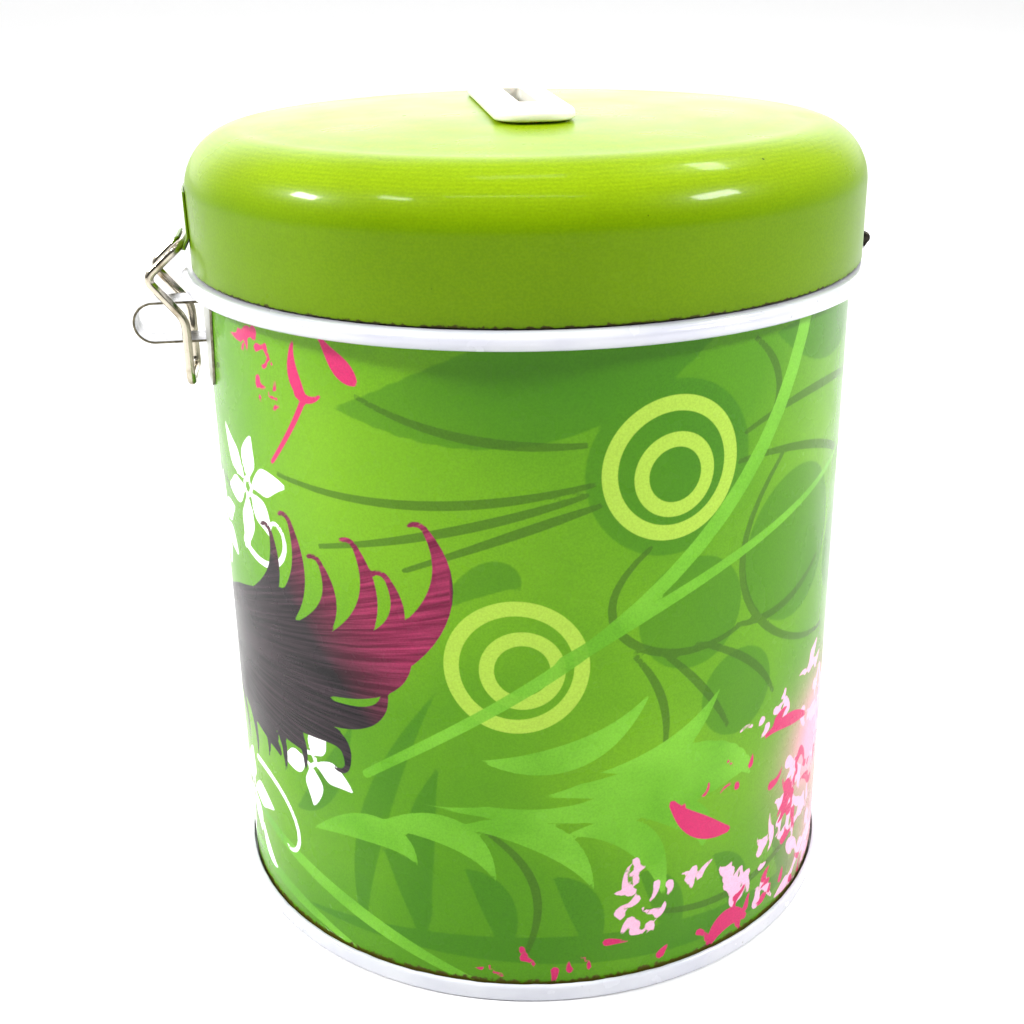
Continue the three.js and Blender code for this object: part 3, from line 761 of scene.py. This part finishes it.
def draw_splashes(art):
    """Ink splashes in hot pink and pale pink, as short strokes of uneven width."""
    rng = random.Random(11)
    for ink, centre, spread, count, size in (
        ("pink", (-51.5, 98.5), (1.5, 1.4), 9, 1.2), ("pink", (-50, 90), (4.5, 3.5), 8, 0.75),
        ("pink", (22, 32), (3, 1.6), 6, 0.8), ("pink", (44, 24), (5, 4), 22, 1.4),
        ("pink", (0, 6), (9, 1.6), 9, 1.0), ("pink", (36, 7), (10, 2.5), 14, 1.1),
        ("blush", (36, 40), (4, 2.5), 12, 1.0), ("blush", (9, 20), (2, 1.4), 7, 1.2),
        ("blush", (9, 11), (1.6, 2.4), 8, 1.2), ("blush", (20, 18), (2.4, 1.2), 6, 1.0),
        ("blush", (28, 12), (3, 3), 12, 1.6), ("blush", (41, 18), (4, 5), 26, 1.5),
        ("blush", (52, 36), (4, 7), 18, 1.6), ("blush", (54, 8), (6, 4), 18, 1.8),
    ):
        for _ in range(count):
            start = Vector((rng.gauss(centre[0], spread[0]), rng.gauss(centre[1], spread[1])))
            angle = rng.uniform(0, 2 * HALF_TURN)
            length = size * rng.uniform(0.8, 3.2)
            bend = towards(start, angle, length / 2, rng.uniform(-0.4, 0.4) * length)
            art.stroke(ink, [start, bend, towards(start, angle, length)],
                       tapered(size * rng.uniform(0.3, 0.8), 0.2), steps=5)
    for half_width, *points in (
        (swollen(1.15, 0.6, 0.3), (-40.5, 100), (-42, 95), (-38.5, 92)),
        (tapered(0.9, 0.2), (-40, 93), (-38, 91.6), (-36, 93.2)),
        (tapered(0.5, 0.35), (-39.5, 91.5), (-42, 87), (-47, 81.5)),
        (swollen(1.5, 0.65, 0.4), (-35.5, 101.5), (-33, 98), (-30, 95.8)),
        (swollen(1.9, 0.55, 0.6), (14.5, 31.5), (18, 25.5), (25, 23.5)),
        (swollen(1.2, 0.6, 0.4), (33, 36.5), (38, 37.8), (46, 34.5)),
        (swollen(1.8, 0.5, 0.5), (22, 3), (25, 9), (30, 5)),
    ):
        art.stroke("pink", points, half_width)


def draw_print(wall):
    """Stores the inks on the wall's points."""
    places = np.empty(len(wall.data.vertices) * 3, np.float32)
    wall.data.vertices.foreach_get("co", places)
    x, y, z = (places.reshape(-1, 3).astype(float) / MM).T
    art = Print(np.arctan2(x, -y) * WALL_R, z)
    for draw in (draw_ground, draw_shades, draw_veins, draw_rings, draw_leaves, draw_splashes,
                 draw_flowers, draw_plume):
        draw(art)
    for name, values in art.inks.items():
        stored = wall.data.attributes.new(name, "FLOAT", "POINT")
        stored.data.foreach_set("value", values.astype(np.float32))


# ---- body of the tin


def make_wall(print_finish, tinplate):
    """Rolled wall with a curled mouth. Its outside has a fine grid, which holds the print."""
    inner = WALL_R - SHEET
    rim = WALL_R - NECK_LEAN
    rows = int((BEAD_FOOT - RING_TOP) / PRINT_CELL)
    printed = [(WALL_R, z) for z in np.linspace(RING_TOP - 0.2, BEAD_FOOT + 0.3, rows + 1)]
    curl = (rim - RIM_WIDTH / 2, WALL_TOP - RIM_WIDTH / 2)
    mouth = arc(curl, (RIM_WIDTH / 2, RIM_WIDTH / 2), 0, HALF_TURN, 8)
    profile = [
        (WALL_R, WALL_FOOT), *printed, (WALL_R, NECK_START), *mouth,
        (rim - RIM_WIDTH, curl[1]), (rim - SHEET, curl[1]), (inner, NECK_START), (inner, BEAD_FOOT),
        (inner, 60), (inner, 20), (inner, WALL_FOOT),
    ]
    around = int(2 * HALF_TURN * WALL_R / PRINT_CELL)
    wall = to_object("printed_wall", turned(profile, around))
    draw_print(wall)
    place(wall, "tin", "printed_wall", [print_finish, tinplate], "body_wall")
    paint(wall, lambda c, _: math.hypot(c.x, c.y) < WALL_R - 0.05 or c.z > NECK_START)


def make_side_seam(tinplate):
    """The lap of the rolled sheet, inside the wall."""
    inner = WALL_R - SHEET
    half = SEAM_HALF_WIDTH / WALL_R
    ends = (SEAM_AZIMUTH - half, SEAM_AZIMUTH + half)
    outline = arc((0, 0), (inner - SEAM_DEPTH,) * 2, *ends, 12)
    outline += arc((0, 0), (inner + SHEET / 4,) * 2, *ends[::-1], 12)
    rings = [[(*p, z) for p in outline] for z in (RING_TOP + 0.2, NECK_START - 1.1)]
    seam = to_object("side_seam", lofted(rings, capped=True))
    soften(seam, 0.1)
    place(seam, "tin", "printed_wall", [tinplate])


def make_bottom_end(enamel, tinplate):
    """Pressed bottom with a stepped panel, rings pressed into it, and the seam ring."""
    top = PANEL + SHEET
    ring = [
        (FOOT_INNER - 1.5, LEDGE), (FOOT_INNER, LEDGE), (FOOT_INNER, 0), (RING_R, 0), (RING_R, RING_TOP),
        (CHANNEL_OUTER, RING_TOP), (CHANNEL_OUTER, FLOOR_SHEET), (CHANNEL_INNER, FLOOR_SHEET),
        (CHANNEL_INNER, LEDGE + SHEET), (LEDGE_R, LEDGE + SHEET), (PANEL_R, top),
    ]
    cuts = [0, 0.5, 0.4, 0.75, 0.6, 0.15, 0, 0, 0.2, 0.5, 0.5]
    pressed = [(38, 36), (24, 22)]
    inside = [p for r, s in pressed for p in ((r, top), ((r + s) / 2, top + 0.35), (s, top))]
    below = [p for r, s in pressed[::-1] for p in ((s, PANEL), ((r + s) / 2, PANEL + 0.35), (r, PANEL))]
    profile = [(1, PANEL), *rounded(below, 0.5), (PANEL_R, PANEL), (LEDGE_R, LEDGE), *rounded(ring, cuts),
               *rounded(inside, 0.5), (1, top)]
    bm = turned(profile, closed=False)
    wobble(bm, lambda p: p.z > RING_TOP - 0.5 and math.hypot(p.x, p.y) > CHANNEL_OUTER - 0.1)
    bottom = to_object("pressed_bottom", bm)
    place(bottom, "tin", "white_enamel", [enamel, tinplate], "bottom_end")
    paint(bottom, lambda c, _: math.hypot(c.x, c.y) < CHANNEL_INNER + 0.1 and c.z > PANEL + SHEET / 2
          and not (math.hypot(c.x, c.y) > PANEL_R and c.z < LEDGE + SHEET / 2))


def wobble(bm, belongs):
    """Makes a crimped edge slightly uneven, downwards, as hand-fed seams are."""
    for vertex in bm.verts:
        if belongs(vertex.co):
            azimuth = math.atan2(vertex.co.y, vertex.co.x)
            uneven = math.sin(23 * azimuth) + math.sin(57 * azimuth + 1) + math.sin(91 * azimuth + 2)
            vertex.co.z -= 0.05 * (1.5 + uneven / 2)


def make_bead(enamel):
    """Rolled bead round the tin's shoulder."""
    round_ = (BEAD_TOP - BEAD_FOOT) / 2
    nose = arc((BEAD_R - round_, BEAD_FOOT + round_), (round_, round_), -QUARTER_TURN, QUARTER_TURN, 20)
    ease = 0.25
    lip = [(BEAD_INNER + ease, BEAD_TOP), (BEAD_INNER, BEAD_TOP - ease),
           (BEAD_INNER, BEAD_FOOT + ease), (BEAD_INNER + ease, BEAD_FOOT)]
    place(to_object("bead", turned(nose + lip)), "tin", "white_enamel", [enamel], "top_ring")


# ---- lid


def lid_line(inset):
    """The lid's skin from the skirt to the crown, moved in by an inset."""
    start = LID_R - SHOULDER_OUT
    radii = (SHOULDER_OUT - inset, SHOULDER_UP - inset)
    shoulder = arc((start, SHOULDER_FOOT), radii, 0, QUARTER_TURN, 28)
    crown = [Vector((r, LID_TOP - inset - DOME_RISE * (r / start) ** DOME_POWER))
             for r in np.linspace(start, 0.5, 18)[1:]]
    return shoulder + crown


def make_lid(lacquer, tinplate):
    """Drawn lid with a rolled hem and an opening for the insert."""
    inner = LID_R - SHEET
    hem = rounded([
        (inner, SHOULDER_FOOT - 4), (inner, LID_FOOT + HEM_HEIGHT), (HEM_INNER, LID_FOOT + HEM_HEIGHT),
        (HEM_INNER, LID_FOOT), (LID_R, LID_FOOT), (LID_R, LID_FOOT + 3),
    ], [0, 0.1, 0.3, 0.3, 0.4, 0])
    lid = to_object("lid", turned(lid_line(SHEET)[::-1] + hem + lid_line(0)))
    lid.data.materials.append(lacquer)
    lid.data.materials.append(tinplate)
    hole = lofted([rounded_rectangle(SLEEVE_WIDTH + 2 * HOLE_GAP, SLEEVE_LENGTH + 2 * HOLE_GAP,
                                     SLEEVE_CORNER + HOLE_GAP, LID_TOP + up) for up in (-4, 4)], capped=True)
    hole.transform(Matrix.Translation((*BEZEL_PLACE, 0)))
    cut_away(lid, hole)
    place(lid, "lid", "lid_lacquer", [lacquer, tinplate], "lid_shell")
    limit = LID_R - SHOULDER_OUT

    def is_inside(c, _):
        r = math.hypot(c.x, c.y)
        if c.z < SHOULDER_FOOT:
            return r < LID_R - SHEET / 2 and c.z > LID_FOOT + HEM_HEIGHT + 0.1
        if r > limit:
            middle = SHEET / 2
            return math.hypot((r - limit) / (SHOULDER_OUT - middle),
                              (c.z - SHOULDER_FOOT) / (SHOULDER_UP - middle)) < 1
        return c.z < LID_TOP - SHEET / 2 - DOME_RISE * (r / limit) ** DOME_POWER

    paint(lid, is_inside)


def make_bezel(ivory, slot_shade):
    """Moulded insert: a pillowed flange, a slot with eased edges, a sleeve through the lid and four hooks."""
    seat = BEZEL_TOP - BEZEL_PROUD
    foot, pillow, lip = 0.35, (1.7, 1.1), (1.1, 0.9)

    def ring(inset, up, width=BEZEL_WIDTH, length=BEZEL_LENGTH, corner=BEZEL_CORNER, beside=0.0):
        outline = rounded_rectangle(width - 2 * inset, length - 2 * inset, corner - inset, up)
        return [point + Vector((BEZEL_PLACE[0] + beside, BEZEL_PLACE[1], 0)) for point in outline]

    rings = [ring(0, seat - up, SLEEVE_WIDTH, SLEEVE_LENGTH, SLEEVE_CORNER) for up in (SLEEVE_DEPTH, 0)]
    rings += [ring(foot, seat), ring(foot / 3, seat + foot / 3), ring(0, seat + foot)]
    for turn in np.linspace(0, QUARTER_TURN, 12):
        rings.append(ring(pillow[0] * (1 - math.cos(turn)), BEZEL_TOP - pillow[1] * (1 - math.sin(turn))))
    slot = (SLOT_WIDTH, SLOT_LENGTH, 0.7, SLOT_X)
    for turn in np.linspace(0, QUARTER_TURN, 10):
        rings.append(ring(-lip[0] * (1 - math.sin(turn)), BEZEL_TOP - lip[1] * (1 - math.cos(turn)), *slot))
    rings.append(ring(0, seat - SLEEVE_DEPTH, *slot))
    bezel = to_object("slot_insert", lofted(rings, joined_ends=True))
    place(bezel, "lid", "ivory_plastic", [ivory, slot_shade], "slot_bezel")
    # Faces inside the slot take the grey plastic, as painted shade for the slot's depth.
    paint(bezel, lambda c, _: c.z < BEZEL_TOP - SLOT_EDGE
          and abs(c.x - BEZEL_PLACE[0] - SLOT_X) < SLOT_WIDTH / 2 + 0.1
          and abs(c.y - BEZEL_PLACE[1]) < SLOT_LENGTH / 2 + 0.1)
    for end, row in ((-1, "front"), (1, "back")):
        for side, column in ((-1, "left"), (1, "right")):
            middle = Vector((BEZEL_PLACE[0] + side * (SLEEVE_WIDTH / 2 + HOOK_OUT),
                             BEZEL_PLACE[1] + end * HOOK_ALONG, seat - HOOK_DOWN))
            bm = block(middle - HOOK_HALF, middle + HOOK_HALF)
            hook = to_object(f"insert_hook_{row}_{column}", bm)
            soften(hook, 0.2)
            place(hook, "lid", "ivory_plastic", [ivory])


# ---- hinge


def dome_rivet(inner, outer):
    """A domed rivet along X, between the given distances from the axis."""
    foot = outer + RIVET_SEAT
    tail = inner - RIVET_SEAT
    brim = 0.12
    profile = [
        (0.05, tail - RIVET_TAIL_HEIGHT), (RIVET_TAIL * 0.8, tail - RIVET_TAIL_HEIGHT),
        (RIVET_TAIL, tail - RIVET_TAIL_HEIGHT / 2), (RIVET_TAIL, tail), (RIVET_SHANK, tail),
        (RIVET_SHANK, foot), (RIVET_HEAD, foot),
        *arc((0, foot + brim), (RIVET_HEAD, RIVET_HEIGHT - brim), 0.05, 1.53, 8),
    ]
    bm = turned(profile, 32, closed=False)
    bm.transform(Matrix.Rotation(QUARTER_TURN, 4, "Y"))
    return bm


def place_rivets(name, up, inner, outer, body, finish):
    """A pair of rivets through a hinge leaf."""
    for i, side in enumerate((-1, 1)):
        bm = dome_rivet(inner, outer)
        swing = math.asin(side * LEAF_RIVETS / 2 / outer)
        bm.transform(Matrix.Rotation(swing, 4, "Z") @ Matrix.Translation((0, 0, up)))
        place(to_object(f"domed_{name}_{i + 1}", bm), body, "dark_steel", [finish], f"{name}_{i + 1}")


def leaf_line(plate_out, plate_end, plate_near, turn):
    """A hinge leaf's centre line: along the plate, out to the barrel and round the pin."""
    wrap = BORE + LEAF_SHEET / 2
    to_corner = Vector((plate_out - HINGE_OUT, plate_near - HINGE_UP))
    start = turn * (math.acos(to_corner.x / to_corner.length) - math.acos(wrap / to_corner.length))
    curl = arc((HINGE_OUT, HINGE_UP), (wrap, wrap), start, start - turn * CURL_TURN, 40)
    bend = rounded([(plate_out, plate_end), (plate_out, plate_near), curl[0]], 0.5)
    return bend[:-1] + curl


def cup(bm, radius, belongs):
    """Presses a flat leaf to the tin's curve where it lies on the tin."""
    for vertex in bm.verts:
        if belongs(vertex.co.z):
            vertex.co.x -= radius - math.sqrt(radius ** 2 - vertex.co.y ** 2)


def make_leaf(name, body, radius, plate_end, plate_near, turn, openings, steel):
    """One hinge leaf, cupped to the tin, with room for the other leaf's knuckles."""
    out = radius + LEAF_GAP + LEAF_SHEET / 2
    bm = bent_sheet(leaf_line(out, plate_end, plate_near, turn), LEAF_SHEET, LEAF_WIDTH, 16)
    straight = abs(plate_near - HINGE_UP) - 0.5
    cup(bm, radius, lambda up: abs(up - HINGE_UP) > straight)
    leaf = to_object(name.replace("hinge", "cupped"), bm)
    half = BORE + LEAF_SHEET + 0.65
    tools = [block((HINGE_OUT - half, low, HINGE_UP - half), (HINGE_OUT + half, high, HINGE_UP + half))
             for low, high in openings]
    cut_away(leaf, *tools)
    soften(leaf, 0.07)
    place(leaf, body, "dark_steel", [steel], name)


def make_hinge(steel):
    """Two leaves, the pin and four rivets, on the +X side."""
    edge = LEAF_WIDTH / 2 + 1
    gap = KNUCKLE_HALF + KNUCKLE_GAP
    make_leaf("hinge_lid_leaf", "lid", LID_R, LID_PLATE_FOOT + LEAF_HEIGHT, LID_PLATE_FOOT, 1,
              [(-edge, -KNUCKLE_HALF), (KNUCKLE_HALF, edge)], steel)
    make_leaf("hinge_body_leaf", "tin", WALL_R, BODY_PLATE_TOP - LEAF_HEIGHT, BODY_PLATE_TOP, -1,
              [(-gap, gap)], steel)
    low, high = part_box("hinge_pin")
    end = high.y / MM
    under = end - PIN_HEAD_HEIGHT
    head = [(0.05, end), (PIN_HEAD * 0.7, end), (PIN_HEAD, end - PIN_HEAD_HEIGHT / 2), (PIN_HEAD, under),
            (PIN_R, under)]
    bm = turned([(r, -y) for r, y in head] + [(r, y) for r, y in head[::-1]], 32, closed=False)
    bm.transform(Matrix.Translation((HINGE_OUT, 0, HINGE_UP)) @ Matrix.Rotation(QUARTER_TURN, 4, "X"))
    place(to_object("headed_pin", bm), "tin", "dark_steel", [steel], "hinge_pin")
    sheets = LEAF_GAP + LEAF_SHEET
    for name, body, up, radius in (
        ("hinge_lid_rivet", "lid", LID_PLATE_FOOT + LEAF_HEIGHT / 2, LID_R),
        ("hinge_body_rivet", "tin", BODY_PLATE_TOP - LEAF_HEIGHT / 2, WALL_R),
    ):
        place_rivets(name, up, radius - SHEET, radius + sheets, body, steel)


# ---- hasp and staple, most of it drawn on +X and turned to -X


def turned_about(bm):
    bm.transform(Matrix.Rotation(HALF_TURN, 4, "Z"))
    return bm


def make_wire(nickel):
    """One closed loop of wire whose ends butt inside the bracket's curl."""
    half = WIRE_SPACING / 2
    pivot = WIRE_STATIONS[0]
    stations = [(-out, half, up) for out, up in WIRE_STATIONS]
    back = [(x, -y, z) for x, y, z in stations[::-1]]
    butts = [(-pivot[0], side * WIRE_BUTT / 2, pivot[1]) for side in (1, -1)]
    leg = [WIRE_CORNER, WIRE_BEND, WIRE_BEND, WIRE_CORNER]
    cuts = [0, *leg, *leg, 0]
    path = rounded([butts[0], *stations, *back, butts[1]], cuts, 10)
    curve = bpy.data.curves.new("wire_path", "CURVE")
    curve.dimensions = "3D"
    curve.bevel_depth = WIRE_R * MM
    curve.bevel_resolution = 6
    curve.use_fill_caps = True
    spline = curve.splines.new("POLY")
    spline.points.add(len(path) - 1)
    for point, spot in zip(spline.points, path):
        point.co = (*(spot * MM), 1)
    maker = in_scene("wire_path", curve)
    mesh = bpy.data.meshes.new_from_object(maker)
    bpy.data.objects.remove(maker)
    mesh.name = "hasp_wire"
    place(in_scene("hasp_wire_loop", mesh), "hasp", "nickel", [nickel], "hasp_wire")


def make_bracket(lacquer):
    """Lug that follows the lid's skirt, wider at the foot, where it flares to a curl round the wire."""
    pivot_out, pivot_up = WIRE_STATIONS[0]
    wrap = WIRE_R + BRACKET_GAP + BRACKET_SHEET / 2
    out = pivot_out - wrap
    sides = [(BRACKET_TOP_HALF, BRACKET_TOP), (BRACKET_TOP_HALF, BRACKET_SIDE_TOP),
             (BRACKET_FOOT_HALF, BRACKET_SIDE_FOOT), (BRACKET_FOOT_HALF, BRACKET_FLARE_FOOT)]
    stations = []
    for half, up in rounded(sides, [0, 1.4, 1.4, 0], 6):
        flare = (BRACKET_SIDE_FOOT - up) / (BRACKET_SIDE_FOOT - BRACKET_FLARE_FOOT)
        stations.append((Vector((out, up)), half, 1 - min(max(flare, 0), 1)))
    curl = arc((pivot_out, pivot_up), (wrap, wrap), -HALF_TURN, BRACKET_CURL - HALF_TURN, 42)
    shoulder = BRACKET_FOOT_HALF - 0.4 - BRACKET_CURL_HALF
    for i, spot in enumerate(curl):
        narrowing = min(i / 6, 1)
        half = BRACKET_CURL_HALF + shoulder * math.sqrt(1 - narrowing ** 2)
        stations.append((spot, half, 0))
    bracket = to_object("hasp_lug", turned_about(shaped_sheet(stations, BRACKET_SHEET, LID_R, 24)))
    soften(bracket, 0.08)
    place(bracket, "lid", "lid_lacquer", [lacquer], "hasp_bracket")


def make_staple(worn, tinplate, cut_edge):
    """The strap bent to a loop, and the thin scutcheon that it comes out of."""
    half = STRAP_SHEET / 2
    nose = (STRAP_TOP - STRAP_FOOT) / 2 - half
    middle = (STRAP_TOP + STRAP_FOOT) / 2
    foot = WALL_R - SHEET - STRAP_GAP - half
    bend = (STRAP_BEND, STRAP_BEND)
    high, low = STRAP_TOP - half, STRAP_FOOT + half
    line = [
        Vector((foot, high + STRAP_END)),
        *arc((foot + STRAP_BEND, high + STRAP_BEND), bend, HALF_TURN, 1.5 * HALF_TURN, 8),
        *arc((STRAP_TIP - half - nose, middle), (nose, nose), QUARTER_TURN, -QUARTER_TURN, 28),
        *arc((foot + STRAP_BEND, low - STRAP_BEND), bend, QUARTER_TURN, HALF_TURN, 8),
        Vector((foot, low - STRAP_END)),
    ]
    strap = to_object("staple_loop", turned_about(bent_sheet(line, STRAP_SHEET, STRAP_WIDTH)))
    soften(strap, 0.12)
    place(strap, "tin", "nickel", [worn, cut_edge], "staple_strap")
    paint(strap, lambda _, normal: abs(normal.y) > 0.8)
    corners = [(PLATE_TOP_HALF, PLATE_TOP), (-PLATE_TOP_HALF, PLATE_TOP), (-PLATE_FOOT_HALF, PLATE_FOOT),
               (PLATE_FOOT_HALF, PLATE_FOOT)]
    outline = rounded(corners, [0.8, 0.8, PLATE_CORNER, PLATE_CORNER], 8, closed=True)
    inner = WALL_R + PLATE_GAP
    ring = [(inner, PLATE_FOOT - 1), (inner + PLATE_SHEET, PLATE_FOOT - 1),
            (inner + PLATE_SHEET, PLATE_TOP + 1), (inner, PLATE_TOP + 1)]
    plate = to_object("staple_scutcheon", turned(ring))
    outside, inside, slit_gap = -60, -40, 0.3
    keep = lofted([[(x, p.x, p.y) for p in outline] for x in (outside, inside)], capped=True)
    cut_away(plate, keep, operation="INTERSECT")
    room = STRAP_SHEET / 2 + slit_gap
    side = STRAP_WIDTH / 2 + slit_gap
    slits = [block((outside, -side, up - room), (inside, side, up + room)) for up in (high, low)]
    cut_away(plate, *slits)
    soften(plate, 0.06)
    place(plate, "tin", "bright_tinplate", [tinplate, cut_edge], "staple_plate")
    paint(plate, lambda _, normal: max(abs(normal.y), abs(normal.z)) > 0.7)


# ---- camera, light and floor

CAMERA_PLACE = Vector((-29.5, -221.65, 149.1))
CAMERA_YAW, CAMERA_PITCH, CAMERA_ROLL = math.radians(6.85), math.radians(21.81), math.radians(-0.96)
CAMERA_LENS, CAMERA_SENSOR = 50.11, 36
# Lamps: azimuth from -Y towards +X and elevation in degrees, size in metres, and power.
LAMPS = {
    "left_low": (-90, 31, (0.2, 0.12), 16.5),
    "left_high": (-60, 46, (0.2, 0.09), 3.6),
    "front_strip": (-13, 59, (0.75, 0.035), 1.6),
    "overhead": (180, 84, (0.32, 0.14), 1.1),
    "right_back": (119, 54, (0.3, 0.12), 4.5),
    "right_front": (62, 33, (0.32, 0.16), 15),
}
LAMP_DISTANCE, LAMP_AIM = 1.2, 0.12
# Light from the room: an axis, two directions along it, and the strengths there.
ROOM_LIGHT = [
    ("Y", -0.75, 0.4, 0.08, 0.55),        # from the front to the sides and back
    ("Y", 0.55, 0.95, 0.0, 2.1),          # a bright backdrop, low behind the tin
    ("Z", 0.25, 0.9, 0.0, 0.4),           # a pale ceiling
]


def add_camera():
    data = bpy.data.cameras.new("camera")
    data.lens, data.sensor_width = CAMERA_LENS, CAMERA_SENSOR
    data.clip_start, data.clip_end = 0.01, 20
    camera = in_scene("camera", data)
    turn = (Matrix.Rotation(-CAMERA_YAW, 4, "Z") @ Matrix.Rotation(QUARTER_TURN - CAMERA_PITCH, 4, "X")
            @ Matrix.Rotation(CAMERA_ROLL, 4, "Z"))
    camera.matrix_world = Matrix.Translation(CAMERA_PLACE * MM) @ turn
    bpy.context.scene.camera = camera


def add_lamp(name, azimuth, elevation, size, power):
    """A soft rectangular lamp that faces the lid."""
    a, e = math.radians(azimuth), math.radians(elevation)
    out = Vector((math.sin(a) * math.cos(e), -math.cos(a) * math.cos(e), math.sin(e)))
    data = bpy.data.lights.new(name, "AREA")
    data.shape = "RECTANGLE"
    data.size, data.size_y = size
    data.energy = power
    lamp = in_scene(name, data)
    lamp.location = out * LAMP_DISTANCE + Vector((0, 0, LAMP_AIM))
    lamp.rotation_mode = "QUATERNION"
    lamp.rotation_quaternion = out.to_track_quat("Z", "Y")


def add_lights():
    """Soft lamps where the lid shows highlights, in a room that is bright behind the tin."""
    for name, values in LAMPS.items():
        add_lamp(name, *values)
    world = bpy.data.worlds.new("room")
    world.use_nodes = True
    bpy.context.scene.world = world
    room = Nodes(world.node_tree, "Generated")
    total = 0.0
    for axis, *values in ROOM_LIGHT:
        total = room.math("ADD", room.levels(room.along(axis), *values, "SMOOTHSTEP"), total)
    background = world.node_tree.nodes["Background"].inputs
    room.feed(background["Strength"], total)
    background["Color"].default_value = (1, 1, 1, 1)


def add_floor():
    bm = bmesh.new()
    bmesh.ops.create_circle(bm, cap_ends=True, segments=96, radius=12000)
    floor = to_object("floor", bm)
    pale = Finish("pale_floor")
    away = pale.node("VectorMath", pale.place)
    away.operation = "LENGTH"
    pale.colour = pale.mix(pale.noise(300, 2), srgb(226, 226, 226), srgb(222, 222, 222))
    # Painted light: the floor is lighter away from the tin, so that it is white far off while less light
    # bounces from it onto the tin.
    pale.lay(pale.levels(away.outputs["Value"], 0.3, 1.6), srgb(254, 254, 254))
    floor.data.materials.append(pale.finished(0.6))


# ---- assembly

add_camera()
add_lights()
add_floor()
bpy.context.scene.view_settings.view_transform = "Standard"

tinplate = bright_tinplate()
nickel = nickel_plate()
enamel = white_enamel()
lacquer = lid_lacquer()

make_wall(printed_wall(), tinplate)
make_side_seam(tinplate)
make_bottom_end(enamel, tinplate)
make_bead(enamel)
make_lid(lacquer, tinplate)
# The second plastic is greyed by painted shade, for the inside of the slot.
make_bezel(ivory_plastic("ivory_plastic"), ivory_plastic("slot_shade_ivory", 0.62))
make_hinge(dark_steel())
make_wire(nickel)
make_bracket(lacquer)
make_staple(
    dull_metal("worn_nickel", srgb(150, 150, 152), srgb(178, 178, 180), 0.25),
    tinplate,
    dull_metal("cut_edge", srgb(92, 86, 70), srgb(132, 126, 108), 0.35),
)
